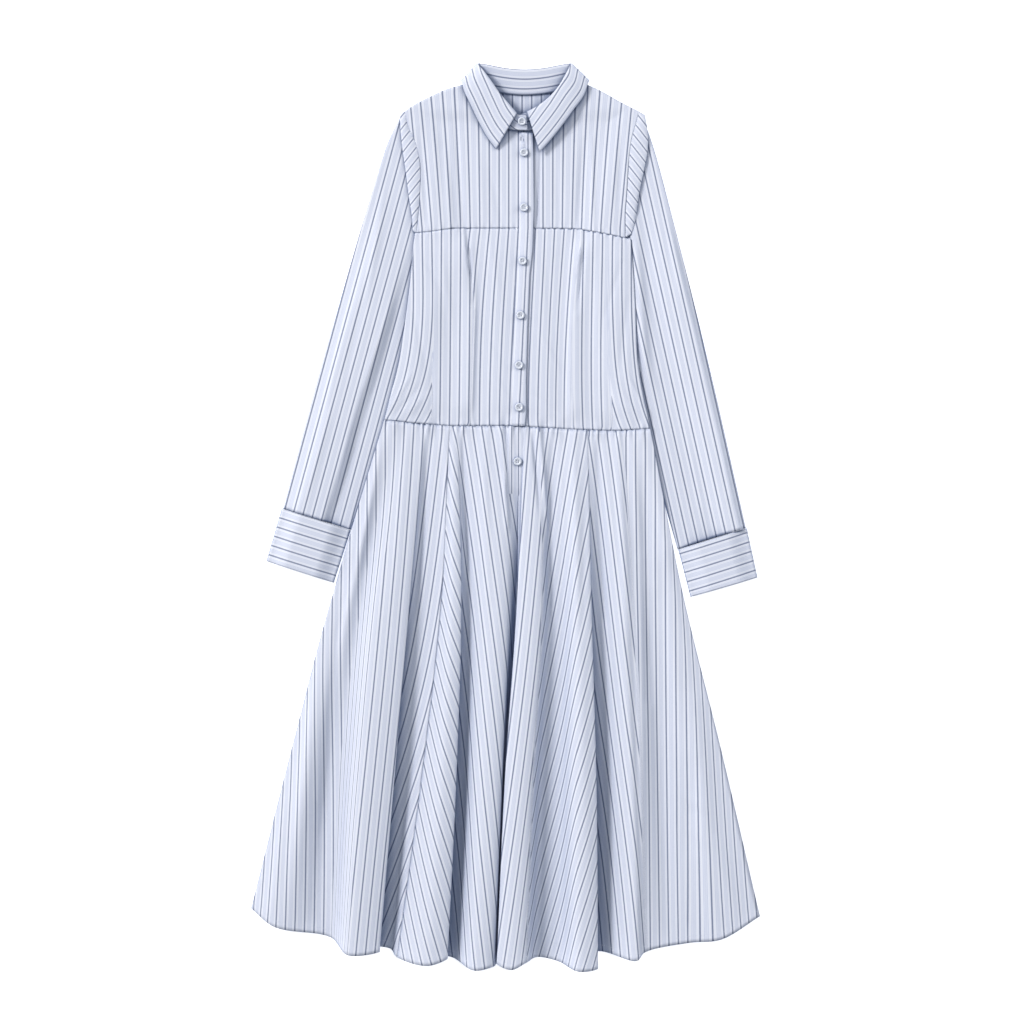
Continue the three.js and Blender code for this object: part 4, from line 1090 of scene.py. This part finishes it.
# Middles of the buttons on the bodice's placket, and of the one on its end.
BUTTON_PLACES = [[26, 508], [26, 431], [24, 356], [21, 280], [19, 210], [19, 151]]
LAST_BUTTON = (17, 75)


def on_placket(x, y):
    return float(front_z(x, y) + LAYER + placket_rise(y) + CLOTH / 2 + GAP)


def on_skirt(placket_end, x, y):
    """Foot of the last button: over the highest cloth beneath it."""
    off = np.hypot(placket_end[..., 0] - x, placket_end[..., 1] - y)
    return float(placket_end[..., 2][off < BUTTON_RADIUS].max()) + SHELL


def button_blank():
    """A round button with a raised rim and a dished middle, before its holes."""
    profile = [(0, 1.5), (2.9, 1.5), (3.3, 1.7), (3.7, 2.3), (4.5, BUTTON_THICKNESS),
               (5.2, 2.2), (BUTTON_RADIUS, 1.4), (5.4, 0.5), (4.4, 0), (0, 0)]
    around = 48
    turn = np.linspace(0, 2 * math.pi, around, endpoint=False)
    rings = np.array([[(r * math.cos(a), r * math.sin(a), h) for a in turn]
                      for r, h in profile[1:-1]])
    points = [(0, 0, profile[0][1]), *rings.reshape(-1, 3).tolist(), (0, 0, profile[-1][1])]
    faces = []
    for k in range(around):
        n = (k + 1) % around
        faces.append((0, 1 + k, 1 + n))
        for ring in range(len(rings) - 1):
            a = 1 + ring * around
            faces.append((a + k, a + around + k, a + around + n, a + n))
        a = 1 + (len(rings) - 1) * around
        faces.append((a + k, len(points) - 1, a + n))
    mesh = bpy.data.meshes.new("button_blank")
    mesh.from_pydata((np.array(points) * MM).tolist(), [], faces)
    return mesh


def drill():
    """Four upright rods where the button's holes go."""
    rods = bmesh.new()
    for x in (-HOLE_REACH, HOLE_REACH):
        for y in (-HOLE_REACH, HOLE_REACH):
            place = Matrix.Translation(Vector((x, y, BUTTON_THICKNESS / 2)) * MM)
            bmesh.ops.create_cone(rods, cap_ends=True, segments=20, radius1=HOLE_RADIUS * MM,
                                  radius2=HOLE_RADIUS * MM, depth=3 * BUTTON_THICKNESS * MM,
                                  matrix=place)
    mesh = bpy.data.meshes.new("drill")
    rods.to_mesh(mesh)
    rods.free()
    return mesh


def drilled_button():
    """The mesh that all the buttons share."""
    blank = bpy.data.objects.new("button_blank", button_blank())
    cutter = bpy.data.objects.new("drill", drill())
    for piece in (blank, cutter):
        bpy.context.scene.collection.objects.link(piece)
    holes = blank.modifiers.new("holes", "BOOLEAN")
    holes.object = cutter
    holes.operation = "DIFFERENCE"
    bpy.context.view_layer.update()
    seen = blank.evaluated_get(bpy.context.evaluated_depsgraph_get())
    mesh = bpy.data.meshes.new_from_object(seen)
    mesh.name = "button"
    mesh.shade_smooth()
    mesh.set_sharp_from_angle(angle=math.radians(50))
    mesh.materials.append(plastic)
    for piece in (blank, cutter):
        bpy.data.objects.remove(piece)
    return mesh


def button(name, x, y, z, tilt=0.0):
    disc = bpy.data.objects.new(f"{name}_disc", button_mesh)
    bpy.context.scene.collection.objects.link(disc)
    disc.location = Vector((x, y, z)) * MM
    disc.rotation_euler = (tilt, 0, 0)
    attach(disc, "root")
    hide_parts(name)
    thread_cross(f"{name}_thread", disc)


def thread_cross(name, disc):
    """Sewing thread through the button's holes, in two bars that cross."""
    points, faces = [], []
    for angle in (45, 135):
        way = np.array([math.cos(math.radians(angle)), math.sin(math.radians(angle)), 0])
        side = np.array([-way[1], way[0], 0])
        start = len(points)
        for along, height in ((-1.0, 0.0), (-0.7, 0.45), (0.7, 0.45), (1.0, 0.0)):
            for off in (-0.28, 0.28):
                place = way * along * HOLE_REACH * 1.41 + side * off
                points.append(place + [0, 0, 1.5 + height])
        faces += [(start + k, start + k + 1, start + k + 3, start + k + 2) for k in (0, 2, 4)]
    mesh = bpy.data.meshes.new(name)
    mesh.from_pydata((np.array(points) * MM).tolist(), [], faces)
    mesh.materials.append(thread)
    cross = bpy.data.objects.new(name, mesh)
    bpy.context.scene.collection.objects.link(cross)
    cross.matrix_world = disc.matrix_world.copy()
    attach(cross, "root")


def node_material(name):
    material = bpy.data.materials.new(name)
    material.use_nodes = True
    nodes = material.node_tree.nodes
    return material, nodes, material.node_tree.links.new, nodes["Principled BSDF"]


def color(red, green, blue):
    """A colour as the photo shows it, 0 to 255, for a socket that wants it linear."""
    linear = [((v / 255 + 0.055) / 1.055) ** 2.4 for v in (red, green, blue)]
    return (*linear, 1.0)


GROUND = color(236, 238, 248)
SLATE = color(136, 144, 168)
HAIRLINE = color(212, 217, 234)
# Stripes across one repeat, as shares of it: middle, half width, colour.
STRIPES = [(0.5, 0.06, SLATE), (0.85, 0.025, HAIRLINE), (0.96, 0.02, HAIRLINE),
           (0.05, 0.02, HAIRLINE), (0.16, 0.025, HAIRLINE)]
STRIPE_BLUR = 0.025


def cloth_material():
    material, nodes, link, principled = node_material("shirting")
    place = nodes.new("ShaderNodeUVMap")
    place.uv_map = "weave"
    parts = nodes.new("ShaderNodeSeparateXYZ")
    link(place.outputs["UV"], parts.inputs[0])
    repeat = nodes.new("ShaderNodeMath")
    repeat.operation = "DIVIDE"
    repeat.inputs[1].default_value = REPEAT * MM
    link(parts.outputs["X"], repeat.inputs[0])
    share = nodes.new("ShaderNodeMath")
    share.operation = "FRACT"
    link(repeat.outputs[0], share.inputs[0])
    ramp = nodes.new("ShaderNodeValToRGB")
    stops = ramp.color_ramp.elements
    stops[0].position, stops[0].color = 0.0, GROUND
    stops[1].position, stops[1].color = 1.0, GROUND
    for middle, half, tone in STRIPES:
        for offset, shade in ((-half - STRIPE_BLUR, GROUND), (-half, tone), (half, tone),
                              (half + STRIPE_BLUR, GROUND)):
            if 0 < middle + offset < 1:
                stops.new(middle + offset).color = shade
    link(share.outputs[0], ramp.inputs[0])

    # Painted shade: ambient occlusion finds the hollows between the folds, and there the cloth's
    # base colour is multiplied towards a bluish grey, so deep valleys come out darker than the
    # lamps alone make them.
    shade_occlusion = nodes.new("ShaderNodeAmbientOcclusion")
    shade_occlusion.inputs["Distance"].default_value = 0.1
    shade_occlusion.samples = 8
    painted_shade_amount = nodes.new("ShaderNodeMapRange")
    painted_shade_amount.inputs["From Min"].default_value = 0.52
    painted_shade_amount.inputs["From Max"].default_value = 0.98
    painted_shade_amount.inputs["To Min"].default_value = 0.8
    painted_shade_amount.inputs["To Max"].default_value = 0.0
    link(shade_occlusion.outputs["AO"], painted_shade_amount.inputs["Value"])
    painted_shade_mix = nodes.new("ShaderNodeMix")
    painted_shade_mix.data_type = "RGBA"
    painted_shade_mix.blend_type = "MULTIPLY"
    # the bluish grey of the painted shade in the hollows
    painted_shade_mix.inputs["B"].default_value = color(104, 128, 164)
    link(painted_shade_amount.outputs["Result"], painted_shade_mix.inputs["Factor"])
    link(ramp.outputs["Color"], painted_shade_mix.inputs["A"])
    link(painted_shade_mix.outputs["Result"], principled.inputs["Base Color"])

    weave = nodes.new("ShaderNodeTexNoise")
    weave.inputs["Scale"].default_value = 900
    weave.inputs["Detail"].default_value = 2
    link(place.outputs["UV"], weave.inputs["Vector"])
    bump = nodes.new("ShaderNodeBump")
    bump.inputs["Strength"].default_value = 0.12
    bump.inputs["Distance"].default_value = 0.0002
    link(weave.outputs["Fac"], bump.inputs["Height"])
    link(bump.outputs["Normal"], principled.inputs["Normal"])
    principled.inputs["Roughness"].default_value = 0.72
    principled.inputs["Specular IOR Level"].default_value = 0.25
    principled.inputs["Sheen Weight"].default_value = 0.12
    principled.inputs["Sheen Roughness"].default_value = 0.4
    return material


def plain_material(name, tone, roughness, specular=0.5):
    material, _, _, principled = node_material(name)
    principled.inputs["Base Color"].default_value = tone
    principled.inputs["Roughness"].default_value = roughness
    principled.inputs["Specular IOR Level"].default_value = specular
    return material


def floor():
    """A plain floor that is bright enough to show white."""
    bpy.ops.mesh.primitive_plane_add(size=12)
    plane = bpy.context.object
    plane.name = "floor"
    material = plain_material("floor", color(250, 250, 252), 0.9, 0.1)
    principled = material.node_tree.nodes["Principled BSDF"]
    principled.inputs["Emission Color"].default_value = color(255, 255, 255)
    principled.inputs["Emission Strength"].default_value = 0.8
    plane.data.materials.append(material)


def far_light(name, place, spread, strength, tone):
    """A light so far off that it falls the same all over the dress."""
    light = bpy.data.lights.new(name, "SUN")
    light.angle = math.radians(spread)
    put_light(light, place, strength, tone)


def near_light(name, place, size, power, tone):
    """A soft light over the collar, from where it fades towards the hem."""
    light = bpy.data.lights.new(name, "AREA")
    light.size = size
    put_light(light, place, power, tone)


def put_light(light, place, strength, tone):
    light.energy = strength
    light.color = tone
    lamp = bpy.data.objects.new(light.name, light)
    bpy.context.scene.collection.objects.link(lamp)
    lamp.location = place
    lamp.rotation_euler = Vector(place).to_track_quat("Z", "Y").to_euler()


def studio():
    floor()
    far_light("key", (-2.8, 1.4, 1.7), 14, 2.98, (1.0, 0.985, 0.97))
    far_light("fill", (2.8, 1.0, 1.7), 40, 0.85, (0.98, 0.99, 1.0))
    near_light("top", (0.1, 0.9, 1.5), 1.2, 4.5, (1.0, 0.99, 1.0))
    world = bpy.data.worlds.new("studio")
    bpy.context.scene.world = world
    world.use_nodes = True
    world.node_tree.nodes["Background"].inputs["Color"].default_value = color(228, 240, 255)
    world.node_tree.nodes["Background"].inputs["Strength"].default_value = 0.29
    bpy.context.scene.view_settings.view_transform = "Standard"


# The photo is 1024 pixels wide, and its middle lies over this place of the dress.
PHOTO_WIDTH = 1024 * PIXEL * MM
CAMERA_X = 9.1 * MM
CAMERA_Y = 4.2 * MM
LENS = 85
SENSOR = 36


def camera():
    data = bpy.data.cameras.new("camera")
    data.lens = LENS
    data.sensor_width = SENSOR
    eye = bpy.data.objects.new("camera", data)
    bpy.context.scene.collection.objects.link(eye)
    eye.location = (CAMERA_X, CAMERA_Y, PHOTO_WIDTH * LENS / SENSOR + 10 * MM)
    bpy.context.scene.camera = eye


shirting = cloth_material()
plastic = plain_material("button_plastic", color(224, 228, 238), 0.24)
thread = plain_material("thread", color(232, 235, 245), 0.7)
button_mesh = drilled_button()

studio()
camera()
back_skirt()
back_bodice()
sleeve("left")
sleeve("right")
cuff("left")
cuff("right")
sleeve_head("left", ARMHOLE_LEFT)
sleeve_head("right", ARMHOLE_RIGHT)
skirt = front_skirt()
front_bodice("bodice_front_left", BODICE_LEFT, LEFT_SHIFT)
front_bodice("bodice_front_right", BODICE_RIGHT, RIGHT_BODICE_SHIFT)
front_yoke("yoke_front_left", ARMHOLE_LEFT, SHOULDER_LEFT, NECK_LEFT, 1, LEFT_SHIFT)
front_yoke("yoke_front_right", ARMHOLE_RIGHT, SHOULDER_RIGHT, NECK_RIGHT, -1, RIGHT_YOKE_SHIFT)
bodice_placket()
placket_end = skirt_placket(skirt)
collar_stand()
collar_leaf()
button("button_1", 23, 551, 11.2, 0.17)
for number, (x, y) in enumerate(BUTTON_PLACES, start=2):
    button(f"button_{number}", x, y, on_placket(x, y))
last_x, last_y = LAST_BUTTON
button("button_8", last_x, last_y, on_skirt(placket_end, last_x, last_y))
